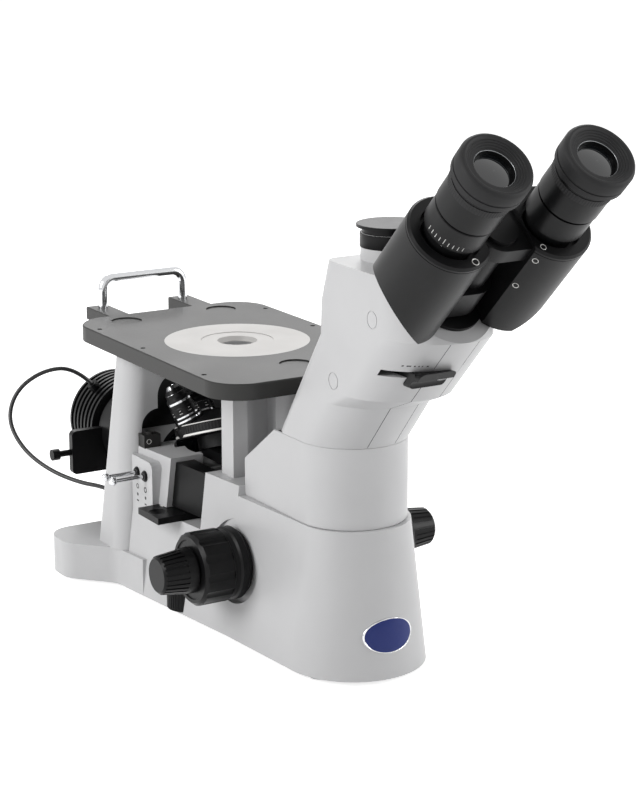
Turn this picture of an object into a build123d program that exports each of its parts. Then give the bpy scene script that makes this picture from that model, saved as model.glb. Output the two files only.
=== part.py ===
from build123d import *
import math
import os

os.makedirs("parts", exist_ok=True)

# Inverted microscope for flat samples: the objectives look up through the stage.
# Frame: +Z up, the user sits at -Y, the origin is on the table under the middle of the instrument.
# Lengths are in millimetres and angles in degrees.

# How a block or cylinder sits on its place
standing = (Align.CENTER, Align.CENTER, Align.MIN)
hanging = (Align.CENTER, Align.CENTER, Align.MAX)

# Overall driving sizes
stage_height = 203.0
axis_y = 91.0
foot_pad_height = 4.0
fit_clearance = 0.02
running_clearance = 0.05
sliding_clearance = 0.3
panel_gap = 0.5
through = 200.0
overshoot = 1.0
small_chamfer = 0.6
rim_chamfer = 0.5

# Stage
stage_width = 160.0
stage_depth = 250.0
stage_thickness = 12.0
stage_corner = 28.0
insert_diameter = 110.0
insert_thickness = 4.0
insert_ledge = 6.0
insert_hole = 25.0
insert_ring = 55.0
stage_hole_x = 73.5
stage_hole_ys = (86.0, 12.0, -84.0)
stage_hole_radius = 2.0
plug_radius = 12.0
plug_depth = 1.0
plug_places = ((-42.0, 103.0), (42.0, 103.0), (0.0, -87.0))
stage_chamfer = 0.8
insert_groove = 0.4
insert_taper = 3.0

# Carrying handle behind the stage
handle_rod = 7.5
handle_half_width = 36.0
handle_rise = 23.5
handle_setback = 33.0
handle_bend = 10.0
block_width = 18.0
block_depth = 43.0
block_height = 10.0
handle_seat_depth = 6.0
block_drop = 0.5
block_offset = 1.0

# Base casting
plate_thickness = 1.5
plate_inset = 4.0
foot_top = 33.0
ridge_height = 109.0
block_top = 116.5
front_half_bottom = 52.5
front_half_top = 40.0
front_centre = -166.5
waist_y = -84.0
waist_half_bottom = 58.5
waist_half_top = 46.0
body_rear_y = 50.0
rear_half_bottom = 74.0
rear_half_top = 60.0
foot_half = 104.0
foot_rear_y = 132.0
foot_corner = 20.0
foot_root = 25.0
foot_flare_start = 12.0
foot_flare_end = 44.0
foot_pads = ((32.0, -178.0, 11.0), (88.0, 108.0, 9.0))
slot_front_y = -41.0
slot_rear_y = 5.0
slot_floor = 65.0
slot_inner_x = 34.0

# Column behind the stage
column_half_bottom = 78.0
column_half_top = 65.0
column_rear_bottom = 97.0
column_rear_top = 84.0
column_wall = 5.0
column_corner = 14.0
core_flare = 0.8
wall_drill = 12.0
window_half = 57.0
window_bottom = 80.0
window_top = 144.0
window_corner = 14.0
arch_half = 43.0
arch_top = 171.0
arch_corner = 18.0

# Neck and head
seam_height = 168.0
neck_front = -203.5
neck_half = 40.0
neck_flare = 1.0
neck_step = 9.0
heel_drop = 31.0
neck_heel_y = -126.0
head_corner = 11.0
head_rise = 133.0
head_steps = ((-233.0, 35.0), (-257.5, 45.0))
head_lip = 93.0
head_back = ((-181.0, 82.0), (-182.0, 106.0))
head_rear = -191.0
plug_seats = ((-253.0, 103.0), (-205.0, 52.0))
plug_seat_radius = 6.0
plug_ring = 0.6
plug_ring_depth = 0.5
light_bore = 30.0
post_pocket = 34.0

# Eyepiece axes, measured from the eye lens down the tube
tube_angle = 45.0
lens_y = -384.0
lens_rise = 86.0
ipd_max = 76.0
ipd_min = 55.0
face_station = 146.0
wing_top = 64.0
wing_end = 145.2
wing_radius = 28.5
wing_flat = 17.0
wing_recess_depth = 7.0
wing_groove = 0.5
wing_groove_station = 3.5
wing_chamfer = 1.5
wing_cut_inner = 36.3
wing_cut_rise = 34.2
wing_cut_limit = 75.0
tube_recess_radius = 20.7
prism_window = 24.0
prism_window_depth = 60.0
fold_room = 0.6
fold_reach = 60.0
leaf_radius = 16.2
tube_radius = 17.5
ring_radius = 20.5
ring_top = 40.5
ring_end = 58.0
barrel_radius = 21.0
barrel_top = 12.0
barrel_end = 38.5
sleeve_radius = 15.0
sleeve_end = 78.0
sleeve_bore = 12.0
sleeve_room = 4.0
eyecup_radius = 24.3
lens_opening = 13.5
lens_top = 2.0
lens_edge = 4.0
lens_seat = 9.0
cup_top = 1.5
cup_bead = 1.2

# Light path selector
selector_rise = 66.0
selector_depth = 25.0
selector_slot_height = 4.8
selector_travel = 12.0
blade_thickness = 4.0
blade_width = 26.0
blade_left = -24.0
blade_rear = -218.0
tab_width = 28.0
tab_low = 7.5
tab_high = 1.0
tab_reach = 6.0
tab_corner = 3.5
tab_root = 12.0
thumb_radius = 9.0
thumb_forward = 5.0
thumb_drop = 2.0
prism_width = 22.2
prism_depth = 24.0
prism_height = 20.0
prism_side_room = 0.7
prism_end_room = 2.0
prism_head_room = 12.0
slot_room = 0.5
post_width = 7.4
post_depth = 10.0
post_rise = 5.0
cover_half = 11.0
cover_thickness = 3.0

# Trinocular port
port_y = -213.0
port_radius = 20.5
port_bore = 15.0
port_length = 18.0
port_bore_rise = 40.0
cap_radius = 23.5
cap_height = 6.0
cap_lip = 19.5
cap_rim = 2.0
cap_plug = 8.0

# Focus drive
focus_y = -87.0
focus_height = 61.0
gear_module = 0.8
pinion_teeth = 20
pressure_angle = 20.0
gear_backlash = 0.12
gear_width = 12.0
coarse_shaft_radius = 7.0
coarse_knob_wall = 5.0
fine_shaft_radius = 4.0
fine_shaft_half = 112.0
bush_radius = 11.0
knob_cap = 3.6
knob_pocket_gap = 4.0
bush_inner = 18.0
bush_end = 48.0
fine_knob_depth = 23.0
coarse_radius = 26.8
coarse_inner = 50.0
coarse_groove = 60.5
coarse_flutes = 12
flute_radius = 7.0
flute_depth = 0.9
fine_grooves = 24
groove_width = 1.6
groove_depth = 0.9
groove_length = 19.0
fine_radius_inner = 17.0
fine_radius_face = 14.2
tension_width = 4.6
rack_room_floor = 45.0
rack_room_width = 32.0
rack_room_height = 53.0
rack_room_front = 13.0
rack_depth = 9.0
foot_overlap = 2.0
dedendum = 1.25
flank_steps = 6
root_drop = 0.2

# Nosepiece
turret_tilt = 20.0
turret_circle = 25.0
turret_radius = 37.5
turret_half = 5.0
objective_count = 4
objective_seat = 80.0
objective_tips = (114.0, 110.0, 107.0, 112.0)
objective_collar = 11.0
objective_seat_gap = 0.6
objective_barrel = 10.0
objective_sleeve = 9.6
objective_nose = 8.0
objective_front_lens = 4.0
seat_wall = 1.9
seat_height = 14.0
turret_seat_room = 32.0
turret_seat_drop = 12.0
turret_room = 2.5
turret_room_below = 5.0
arm_width = 40.0
arm_length = 44.0
arm_room = 8.0
arm_room_below = 6.0
arm_rise = 15.0
turret_rise = 20.0
arm_thickness = 8.0
carriage_half = 26.0
carriage_bottom = 71.0
rack_foot_width = 24.0
rack_foot_low = 52.0
rack_foot_high = 90.0
turret_boss_radius = 22.0
turret_pin_radius = 6.0
turret_boss_height = 10.0
turret_cone_drop = 2.0
turret_cone_top = 14.0
turret_cone_height = 9.0
objective_bore = 7.0
guide_inset = 5.0
guide_top = 113.0

# Illumination
light_height = 95.0
splitter_side = 18.0
light_tube = 8.0
lamp_start = 88.0
lamp_radius = 35.0
lamp_nose_radius = 23.0
lamp_plate_y = 168.0
lamp_plate_depth = 6.0
lamp_plate_half = 62.0
lamp_plate_low = 63.5
lamp_plate_high = 100.0
lamp_plate_corner = 4.0
lamp_wall = 4.0
sink_radius = 38.5
sink_core = 25.0
sink_end = 222.0
fin_count = 7
fin_pitch = 6.5
fin_thickness = 2.5
plate_bore = 20.0
clamp_screw_z = 82.0
clamp_screw_x = -79.0
clamp_screw_radius = 1.6
clamp_screw_depth = 26.0
clamp_head_radius = 4.6
clamp_head_length = 6.0
clamp_neck_radius = 2.6
clamp_neck_length = 16.7
clamp_screw_length = 40.0
bulb_base_radius = 8.0
bulb_radius = 6.0
bulb_reach = 40.0
bulb_base_length = 22.0

# Levers, tray and wheel
rod_radius = 1.6
ball_radius = 3.3
rod_places = (41.0, 28.0)
rod_rise = 3.5
rod_end_x = -93.0
rod_root_x = -26.0
boss_face_x = -66.0
boss_front_y = 16.0
boss_rise = 12.5
boss_corner = 6.0
tray_half = 16.5
tray_thickness = 5.0
tray_drop = 16.5
tray_outer_x = -78.0
tray_inner_x = 38.0
tray_gap = 0.2
tray_hole_radius = 12.5
finger_radius = 9.0
finger_inset = 8.0
finger_rise = 6.0
wheel_radius = 14.0
wheel_height = 14.0
wheel_x = -56.0
wheel_y = -17.0
wheel_room = 0.8
wheel_head_room = 0.6
wheel_lift = 0.2
axle_radius = 2.0
axle_reach = 6.0

# Power inlet and window latch
inlet_x = 40.0
inlet_width = 27.0
inlet_height = 19.0
inlet_depth = 18.0
inlet_wall = 2.0
inlet_gap = 0.2
inlet_floor = 4.0
pin_width = 2.0
pin_length = 12.0
pin_height = 4.0
inlet_pins = (-7.0, 0.0, 7.0)
latch_x = -53.0
latch_width = 14.0
latch_depth = 10.0
latch_head_radius = 3.0
latch_head_height = 1.5

# Lamp cable
cable_diameter = 3.5
gland_radius = 4.5
gland_bore = 2.1
gland_root = 5.0
gland_tip = 43.0
gland_socket = 6.0
gland_length = 16.0
column_gland_y = 104.0
column_gland_x = -56.0
column_gland_z = 64.5
sink_gland_y = 203.0

# Derived planes and heights
casting_bottom = foot_pad_height
arm_height = light_height + arm_rise
rod_height = light_height + rod_rise
boss_top = rod_height + boss_rise
tray_top = light_height - tray_drop
plate_top = casting_bottom + plate_thickness
stage_underside = stage_height - stage_thickness
beam_height = foot_top
inlet_z = foot_top / 2 + 2
neck_heel_height = seam_height - heel_drop
head_top = seam_height + head_rise
lens_height = head_top + lens_rise
port_top = head_top + port_length
selector_slot = seam_height + selector_rise
selector_floor = selector_slot - selector_depth
knob_face = fine_shaft_half + knob_cap
coarse_face = fine_shaft_half - fine_knob_depth
coarse_shaft_half = coarse_face - coarse_knob_wall
knob_pocket_x = coarse_inner - 1.0
cup_seat_radius = barrel_radius - 1.5
focus_axis_y = axis_y + focus_y
pinion_radius = gear_module * pinion_teeth / 2
tilt_sin = math.sin(math.radians(turret_tilt))
tilt_cos = math.cos(math.radians(turret_tilt))
turret_y = axis_y + turret_circle * tilt_cos
turret_z = arm_height + turret_rise
apex_drop = turret_circle / math.tan(math.radians(turret_tilt))
apex_z = turret_z - apex_drop * tilt_cos
tube_sin = math.sin(math.radians(tube_angle))
tube_cos = math.cos(math.radians(tube_angle))
fold_angle = math.degrees(math.acos(ipd_min / ipd_max))


def tube_point(x, station):
    """Point of an eyepiece axis, station millimetres below the eye lens."""
    return (x, axis_y + lens_y + station * tube_cos, lens_height - station * tube_sin)


def tube_plane(x, station):
    """Plane square to an eyepiece axis, with its normal towards the eye."""
    return Plane(origin=tube_point(x, station), x_dir=(1, 0, 0), z_dir=(0, -tube_cos, tube_sin))


def tube_profile_plane(x):
    """Plane through an eyepiece axis: local x is the radius, local y runs up towards the eye."""
    return Plane(origin=tube_point(x, 0), x_dir=(1, 0, 0), z_dir=(0, -tube_sin, -tube_cos))


def tube_axis(x):
    """Axis of an eyepiece, towards the eye."""
    return Axis(tube_point(x, 0), (0, -tube_cos, tube_sin))


def casting_section(front_half, waist_half, rear_half, inset=0.0):
    """Closed outline of the base: a round front, a waist and a wider square rear."""
    centre = axis_y + front_centre
    half = front_half - inset
    waist = waist_half - inset
    rear = rear_half - inset
    rear_line = axis_y + body_rear_y - inset
    ThreePointArc((-half, centre), (0, centre - half), (half, centre))
    Polyline((half, centre), (waist, axis_y + waist_y), (rear, rear_line), (-rear, rear_line),
             (-waist, axis_y + waist_y), (-half, centre))


def foot_section():
    """Closed outline of the rear foot, which flares to both sides."""
    rear = axis_y + foot_rear_y
    front = axis_y + body_rear_y - foot_root
    wide = foot_half
    neck = rear_half_bottom + 1
    flare_start = axis_y + body_rear_y + foot_flare_start
    flare_end = axis_y + body_rear_y + foot_flare_end
    FilletPolyline((neck - 4, front), (neck, flare_start), (wide, flare_end), (wide, rear), (-wide, rear),
                   (-wide, flare_end), (-neck, flare_start), (-neck + 4, front), radius=foot_corner)
    Line((neck - 4, front), (-neck + 4, front))


# Bottom plate: sheet steel let into the underside of the casting
with BuildPart() as bottom_plate:
    with BuildSketch(Plane.XY.offset(casting_bottom)):
        with BuildLine():
            casting_section(front_half_bottom, waist_half_bottom, rear_half_bottom, plate_inset)
        make_face()
    extrude(amount=plate_thickness)
bottom_plate.part.label = "bottom_plate"
export_step(bottom_plate.part, "parts/bottom_plate.step")

# Base casting: tapered body with the mechanism slot, and the flared rear foot
with BuildPart() as base_casting:
    with BuildSketch(Plane.XY.offset(casting_bottom)):
        with BuildLine():
            casting_section(front_half_bottom, waist_half_bottom, rear_half_bottom)
        make_face()
    with BuildSketch(Plane.XY.offset(block_top)):
        with BuildLine():
            casting_section(front_half_top, waist_half_top, rear_half_top)
        make_face()
    loft(ruled=True)
    with BuildSketch(Plane.XY.offset(casting_bottom)):
        with BuildLine():
            foot_section()
        make_face()
    extrude(amount=foot_top - casting_bottom)
    # Hollow of the rear block under the turning nosepiece
    nosepiece = Plane(origin=(0, turret_y, turret_z), x_dir=(1, 0, 0), z_dir=(0, tilt_sin, tilt_cos))
    with Locations(nosepiece.offset(-turret_half - turret_room_below)):
        Cylinder(turret_radius + turret_room, through, align=standing, mode=Mode.SUBTRACT)
    with Locations(nosepiece.offset(-turret_half - turret_seat_drop)):
        Cylinder(turret_seat_room, through, align=standing, mode=Mode.SUBTRACT)
    with Locations((0, axis_y, arm_height - arm_room_below)):
        Box(arm_width + 2 * arm_room, 2 * body_rear_y + 2, through, align=standing, mode=Mode.SUBTRACT)
    # Boss that carries the two diaphragm rods
    with BuildSketch(Plane.YZ.offset(boss_face_x)):
        with BuildLine():
            FilletPolyline((axis_y + body_rear_y, slot_floor), (axis_y + boss_front_y, slot_floor),
                           (axis_y + boss_front_y, boss_top), (axis_y + body_rear_y, boss_top),
                           radius=boss_corner)
            Line((axis_y + body_rear_y, boss_top), (axis_y + body_rear_y, slot_floor))
        make_face()
    extrude(amount=-boss_face_x - slot_inner_x)
    # The neck stands on the ridge
    with Locations((0, axis_y + waist_y, ridge_height)):
        Box(through, through, through, align=(Align.CENTER, Align.MAX, Align.MIN), mode=Mode.SUBTRACT)
    # Slot for the nosepiece carriage and its guide housing, open to the left side
    with Locations((slot_inner_x, axis_y + slot_front_y, slot_floor)):
        Box(2 * slot_inner_x, slot_rear_y - slot_front_y, through,
            align=(Align.MAX, Align.MIN, Align.MIN), mode=Mode.SUBTRACT)
    with Locations((slot_inner_x, axis_y + slot_front_y, tray_top - tray_thickness - tray_gap)):
        Box(through, slot_rear_y - slot_front_y, through, align=(Align.MAX, Align.MIN, Align.MIN),
            mode=Mode.SUBTRACT)
    # Pocket round each focus knob
    for side in (-1, 1):
        with Locations(Plane(origin=(side * knob_pocket_x, focus_axis_y, focus_height),
                             z_dir=(side, 0, 0))):
            Cylinder(coarse_radius + knob_pocket_gap, through, align=standing, mode=Mode.SUBTRACT)
    # Recess for the bottom plate
    with BuildSketch(Plane.XY.offset(casting_bottom)):
        with BuildLine():
            casting_section(front_half_bottom, waist_half_bottom, rear_half_bottom,
                            plate_inset - sliding_clearance)
        make_face()
    extrude(amount=plate_thickness, mode=Mode.SUBTRACT)
    # Beam tunnel, front and rear shafts of the light path, and their access pockets
    with Locations(Plane(origin=(0, axis_y + post_pocket / 2, beam_height), z_dir=(0, -1, 0))):
        Cylinder(light_bore / 2, post_pocket / 2 - front_centre + light_bore / 2, align=standing,
                 mode=Mode.SUBTRACT)
    for shaft_y, shaft_top in ((axis_y + front_centre, ridge_height), (axis_y, slot_floor)):
        with Locations((0, shaft_y, beam_height)):
            Cylinder(light_bore / 2, shaft_top + overshoot - beam_height, align=standing, mode=Mode.SUBTRACT)
    with Locations((0, axis_y + front_centre, plate_top), (0, axis_y, plate_top)):
        Box(light_bore, post_pocket, beam_height - plate_top, align=standing, mode=Mode.SUBTRACT)
    # Cavity of the rack and pinion
    with Locations((0, axis_y + slot_front_y, rack_room_floor)):
        Box(rack_room_width, slot_front_y - focus_y + rack_room_front, rack_room_height,
            align=(Align.CENTER, Align.MAX, Align.MIN), mode=Mode.SUBTRACT)
    # Bore of the focus shaft bushes
    with Locations(Plane(origin=(0, focus_axis_y, focus_height), z_dir=(1, 0, 0))):
        Cylinder(bush_radius + fit_clearance, through, mode=Mode.SUBTRACT)
    # Seat of the beam splitter and the bore of the illumination
    with Locations((0, axis_y, light_height)):
        Box(*[splitter_side + 2 * fit_clearance] * 3, mode=Mode.SUBTRACT)
    with Locations(Plane(origin=(0, axis_y, light_height), z_dir=(0, 1, 0))):
        Cylinder(light_tube, body_rear_y + 2 * overshoot, align=standing, mode=Mode.SUBTRACT)
    # Channel of the filter tray
    with Locations((tray_inner_x + panel_gap, axis_y, tray_top + tray_gap)):
        Box(through, 2 * (tray_half + tray_gap), tray_thickness + 2 * tray_gap,
            align=(Align.MAX, Align.CENTER, Align.MAX), mode=Mode.SUBTRACT)
    # Bores of the diaphragm rods
    for rod_y in rod_places:
        with Locations(Plane(origin=(boss_face_x - 4, axis_y + rod_y, rod_height), z_dir=(1, 0, 0))):
            Cylinder(rod_radius + running_clearance, rod_root_x + 2 - boss_face_x + 4, align=standing,
                     mode=Mode.SUBTRACT)
    # Pocket and axle hole of the brightness wheel
    with Locations((wheel_x, axis_y + wheel_y, plate_top)):
        Cylinder(wheel_radius + wheel_room, wheel_height + wheel_head_room, align=standing,
                 mode=Mode.SUBTRACT)
        Cylinder(axle_radius + running_clearance, wheel_height + axle_reach + 2 * overshoot, align=standing,
                 mode=Mode.SUBTRACT)
    # Socket of the power inlet
    with Locations((inlet_x, axis_y + foot_rear_y, inlet_z)):
        Box(inlet_width + 2 * inlet_gap, 2 * (inlet_depth + inlet_wall), inlet_height + 2 * inlet_gap,
            mode=Mode.SUBTRACT)
base_casting.part.label = "base_casting"
export_step(base_casting.part, "parts/base_casting.step")
print("base casting solids", len(base_casting.part.solids()), round(base_casting.part.volume))

# Rubber feet: four pads under the corners
with BuildPart() as rubber_feet:
    for pad_x, pad_y, pad_radius in foot_pads:
        with Locations((-pad_x, axis_y + pad_y, 0), (pad_x, axis_y + pad_y, 0)):
            Cylinder(pad_radius, foot_pad_height, align=standing)
rubber_feet.part.label = "rubber_feet"
export_step(rubber_feet.part, "parts/rubber_feet.step")


def column_section(half, rear, inset):
    """Closed outline of the column at one height, inset by the wall inside."""
    front_line = axis_y + body_rear_y + inset
    rear_line = axis_y + rear - inset
    radius = column_corner - inset
    with Locations((0, (front_line + rear_line) / 2)):
        RectangleRounded(2 * (half - inset), rear_line - front_line, radius)


# Rear column: hollow tapered casting with a window for the objectives
with BuildPart() as rear_column:
    with BuildSketch(Plane.XY.offset(foot_top)):
        column_section(column_half_bottom, column_rear_bottom, 0)
    with BuildSketch(Plane.XY.offset(stage_underside)):
        column_section(column_half_top, column_rear_top, 0)
    loft(ruled=True)
    with BuildSketch(Plane.XY.offset(foot_top)):
        column_section(column_half_bottom, column_rear_bottom, column_wall)
    with BuildSketch(Plane.XY.offset(stage_underside - 2 * column_wall)):
        column_section(column_half_top + core_flare, column_rear_top + core_flare, column_wall)
    loft(ruled=True, mode=Mode.SUBTRACT)
    with BuildSketch(Plane.XZ.offset(-(axis_y + body_rear_y - overshoot))):
        with Locations((0, (window_bottom + window_top) / 2)):
            RectangleRounded(2 * window_half, window_top - window_bottom, window_corner)
        with Locations((0, (window_bottom + arch_top) / 2)):
            RectangleRounded(2 * arch_half, arch_top - window_bottom, arch_corner)
    extrude(amount=-column_wall - 2 * overshoot, mode=Mode.SUBTRACT)
    with Locations(Plane(origin=(0, axis_y + column_rear_top - wall_drill, light_height), z_dir=(0, 1, 0))):
        Cylinder(lamp_nose_radius + fit_clearance, 2 * wall_drill, align=standing, mode=Mode.SUBTRACT)
    with Locations(Plane(origin=(column_gland_x, axis_y + column_rear_bottom - wall_drill, column_gland_z),
                         z_dir=(0, 1, 0))):
        Cylinder(gland_radius + fit_clearance, 2 * wall_drill, align=standing, mode=Mode.SUBTRACT)
rear_column.part.label = "rear_column"
export_step(rear_column.part, "parts/rear_column.step")

# Stage support: ribbed bracket on the front block
support_front = slot_front_y - 24
support_depth = 20.0
support_pocket = 13.0
support_pocket_width = 24.0
support_rib = 8.0
support_rim = 6.0
support_corner = 3.0
with BuildPart() as stage_support:
    with Locations((0, axis_y + support_front, block_top)):
        Box(2 * neck_half, support_depth, stage_underside - block_top,
            align=(Align.CENTER, Align.MIN, Align.MIN))
    fillet(stage_support.edges().filter_by(Axis.Z).group_by(Axis.Y)[-1], support_corner)
    for side in (-1, 1):
        pocket_x = side * (support_rib + support_pocket_width) / 2
        with Locations((pocket_x, axis_y + support_front, block_top + support_rim)):
            Box(support_pocket_width, support_pocket, stage_underside - block_top - 2 * support_rim,
                align=(Align.CENTER, Align.MIN, Align.MIN), mode=Mode.SUBTRACT)
stage_support.part.label = "stage_support"
export_step(stage_support.part, "parts/stage_support.step")

# Stage plate with its insert seat, accessory holes and filled holes
with BuildPart() as stage_plate:
    with BuildSketch(Plane.XY.offset(stage_underside)):
        with Locations((0, axis_y)):
            RectangleRounded(stage_width, stage_depth, stage_corner)
    extrude(amount=stage_thickness)
    chamfer(stage_plate.edges().group_by(Axis.Z)[-1], stage_chamfer)
    with Locations((0, axis_y, stage_height)):
        CounterBoreHole(insert_diameter / 2 - insert_ledge, insert_diameter / 2 + fit_clearance,
                        insert_thickness, depth=stage_thickness)
    with Locations([(side * stage_hole_x, axis_y + hole_y, stage_height) for side in (-1, 1)
                    for hole_y in stage_hole_ys]):
        Hole(stage_hole_radius, depth=stage_thickness)
    with Locations([(x, axis_y + y, stage_height) for x, y in plug_places]):
        Cylinder(plug_radius, 2 * plug_depth, mode=Mode.SUBTRACT)
stage_plate.part.label = "stage_plate"
export_step(stage_plate.part, "parts/stage_plate.step")

# Stage insert: turned disc with a tapered hole
with BuildPart() as stage_insert:
    with Locations((0, axis_y, stage_height)):
        Cylinder(insert_diameter / 2, insert_thickness, align=hanging)
        Cylinder(insert_ring / 2, 2 * insert_groove, mode=Mode.SUBTRACT)
        CounterSinkHole(insert_hole / 2, insert_hole / 2 + insert_taper, depth=insert_thickness + 1)
stage_insert.part.label = "stage_insert"
export_step(stage_insert.part, "parts/stage_insert.step")

# Handle blocks screwed to the rear edge of the stage
handle_y = axis_y + stage_depth / 2 + handle_setback
with BuildPart() as handle_blocks:
    for side in (-1, 1):
        with Locations((side * (handle_half_width + block_offset), axis_y + stage_depth / 2,
                        stage_height - block_drop)):
            Box(block_width, block_depth, block_height, align=(Align.CENTER, Align.MIN, Align.MAX))
        with Locations((side * handle_half_width, handle_y, stage_height - block_drop)):
            Cylinder(handle_rod / 2 + fit_clearance, 2 * handle_seat_depth, mode=Mode.SUBTRACT)
    chamfer(handle_blocks.edges().group_by(Axis.Z)[-1].filter_by(GeomType.LINE), small_chamfer)
handle_blocks.part.label = "handle_blocks"
export_step(handle_blocks.part, "parts/handle_blocks.step")

# Handle: bent chrome rod
with BuildPart() as stage_handle:
    rod_foot = stage_height - block_drop - handle_seat_depth
    with BuildLine() as handle_path:
        FilletPolyline((-handle_half_width, handle_y, rod_foot),
                       (-handle_half_width, handle_y, stage_height + handle_rise),
                       (handle_half_width, handle_y, stage_height + handle_rise),
                       (handle_half_width, handle_y, rod_foot), radius=handle_bend)
    with BuildSketch(Plane(origin=(-handle_half_width, handle_y, rod_foot), z_dir=(0, 0, 1))):
        Circle(handle_rod / 2)
    sweep(path=handle_path.wires()[0])
stage_handle.part.label = "stage_handle"
export_step(stage_handle.part, "parts/stage_handle.step")


def neck_section(front, rear_half, rear):
    """Closed outline of the neck and the head at one height: a half circle in front and straight sides."""
    centre = front + neck_half
    ThreePointArc((-neck_half, centre), (0, front), (neck_half, centre))
    Polyline((neck_half, centre), (rear_half, rear), (-rear_half, rear), (-neck_half, centre))


# Neck cover between the ridge and the seam under the head
with BuildPart() as front_cover:
    with BuildSketch(Plane.XY.offset(ridge_height)):
        with BuildLine():
            neck_section(axis_y + neck_front, neck_half + neck_flare, axis_y + waist_y)
        make_face()
    extrude(amount=seam_height - ridge_height)
    chamfer(front_cover.edges().group_by(Axis.Z)[0] + front_cover.edges().group_by(Axis.Z)[-1],
            small_chamfer)
    with BuildSketch(Plane.YZ):
        with BuildLine():
            Polyline((axis_y + neck_heel_y, seam_height + overshoot), (axis_y + neck_heel_y, seam_height),
                     (axis_y + waist_y, neck_heel_height), (axis_y + waist_y + neck_step, neck_heel_height),
                     (axis_y + waist_y + neck_step, seam_height + overshoot), close=True)
        make_face()
    extrude(amount=2 * neck_half, both=True, mode=Mode.SUBTRACT)
    with Locations((0, axis_y + front_centre, ridge_height)):
        Cylinder(light_bore / 2, through, mode=Mode.SUBTRACT)
front_cover.part.label = "front_cover"
export_step(front_cover.part, "parts/front_cover.step")

# Shape of the head: inclined side view, with a front that is a half circle in every level section
face_top = tube_point(0, face_station)
lip_y = face_top[1] - face_top[2]
lip_height = seam_height + head_lip
front_line = [(axis_y + neck_front, seam_height)]
front_line += [(axis_y + step_y, seam_height + step_rise) for step_y, step_rise in head_steps]
front_line += [(lip_y + lip_height, lip_height)]
back_line = [(axis_y + neck_heel_y, seam_height)]
back_line += [(axis_y + step_y, seam_height + step_rise) for step_y, step_rise in head_back]
back_line += [(axis_y + head_rear, head_top)]


def head_front(height):
    """Y of the head's front line at a height between the seam and the lip."""
    for (low_y, low), (high_y, high) in zip(front_line, front_line[1:]):
        if height <= high:
            return low_y + (high_y - low_y) * (height - low) / (high - low)
    return front_line[-1][0]


def head_envelope(grow):
    """The head's round-fronted body, moved forwards by a length."""
    with BuildPart(mode=Mode.PRIVATE) as envelope:
        for front, height in front_line + [(front_line[-1][0], head_top + overshoot)]:
            with BuildSketch(Plane.XY.offset(height)):
                with BuildLine():
                    neck_section(front - grow, neck_half, axis_y + waist_y)
                make_face()
        loft(ruled=True)
    return envelope.part


with BuildPart() as head_housing:
    with BuildSketch(Plane.YZ):
        with BuildLine():
            Polyline(back_line + [(lip_y + head_top, head_top)] + front_line[::-1], close=True)
        make_face()
    extrude(amount=neck_half, both=True)
    rear_edges = [e for e in head_housing.edges() if abs(abs(e.center().X) - neck_half) < 0.01
                  and e.center().Y > axis_y + head_rear - 1 and abs(e.center().Z - seam_height) > 1]
    fillet(rear_edges, head_corner)
    add(head_envelope(0), mode=Mode.INTERSECT)
    # Light channel from the seam to the mounting face
    channel = Plane(origin=(0, axis_y + front_centre, seam_height), x_dir=(1, 0, 0),
                    z_dir=(0, -tube_cos, tube_sin))
    with Locations(channel):
        Cylinder(light_bore / 2, 2 * through, align=standing, mode=Mode.SUBTRACT)
    with Locations((0, axis_y + front_centre, seam_height - overshoot)):
        Cylinder(light_bore / 2, light_bore / 2 + overshoot, align=standing, mode=Mode.SUBTRACT)
    with Locations((0, axis_y + port_y, seam_height + port_bore_rise)):
        Cylinder(port_bore, through, align=standing, mode=Mode.SUBTRACT)
    # Room for the selector prism and the slot of its lever
    room_left = -prism_width / 2 - post_width - selector_travel - slot_room
    with Locations((room_left, axis_y + port_y, selector_floor)):
        Box(prism_width / 2 + prism_side_room - room_left, prism_depth + 2 * prism_end_room,
            selector_depth + prism_head_room, align=(Align.MIN, Align.CENTER, Align.MIN),
            mode=Mode.SUBTRACT)
    slot_left = blade_left - selector_travel - slot_room
    slot_width = blade_left + blade_width + slot_room - slot_left
    with Locations((slot_left, axis_y + blade_rear + slot_room, selector_slot)):
        Box(slot_width, through, selector_slot_height, align=(Align.MIN, Align.MAX, Align.MIN),
            mode=Mode.SUBTRACT)
    # Ring grooves round the two filled seats on each side
    for side in (-1, 1):
        for seat_y, seat_rise in plug_seats:
            with BuildSketch(Plane.YZ.offset(side * neck_half)):
                with Locations((axis_y + seat_y, seam_height + seat_rise)):
                    Circle(plug_seat_radius)
                    Circle(plug_seat_radius - plug_ring, mode=Mode.SUBTRACT)
            extrude(amount=-side * plug_ring_depth, mode=Mode.SUBTRACT)
    # Recess of the front cover
    with BuildSketch(Plane.YZ):
        with BuildLine():
            Polyline([(y - overshoot, z) for y, z in front_line] +
                     [(y + cover_thickness, z) for y, z in front_line[::-1]], close=True)
        make_face()
    extrude(amount=cover_half + sliding_clearance, both=True, mode=Mode.SUBTRACT)
head_housing.part.label = "head_housing"
export_step(head_housing.part, "parts/head_housing.step")
print("head solids", len(head_housing.part.solids()), round(head_housing.part.volume))

# Front cover of the head: flush strip over the light path
with BuildPart() as head_front_cover:
    with BuildSketch(Plane.YZ):
        with BuildLine():
            Polyline(front_line + [(y + cover_thickness, z) for y, z in front_line[::-1]], close=True)
        make_face()
    extrude(amount=cover_half, both=True)
    add(head_envelope(0), mode=Mode.INTERSECT)
    with Locations((slot_left, axis_y + blade_rear + slot_room, selector_slot)):
        Box(slot_width, through, selector_slot_height, align=(Align.MIN, Align.MAX, Align.MIN),
            mode=Mode.SUBTRACT)
    with BuildSketch(channel):
        Circle(light_bore / 2)
    extrude(amount=2 * through, mode=Mode.SUBTRACT)
head_front_cover.part.label = "head_front_cover"
export_step(head_front_cover.part, "parts/head_front_cover.step")

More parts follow.
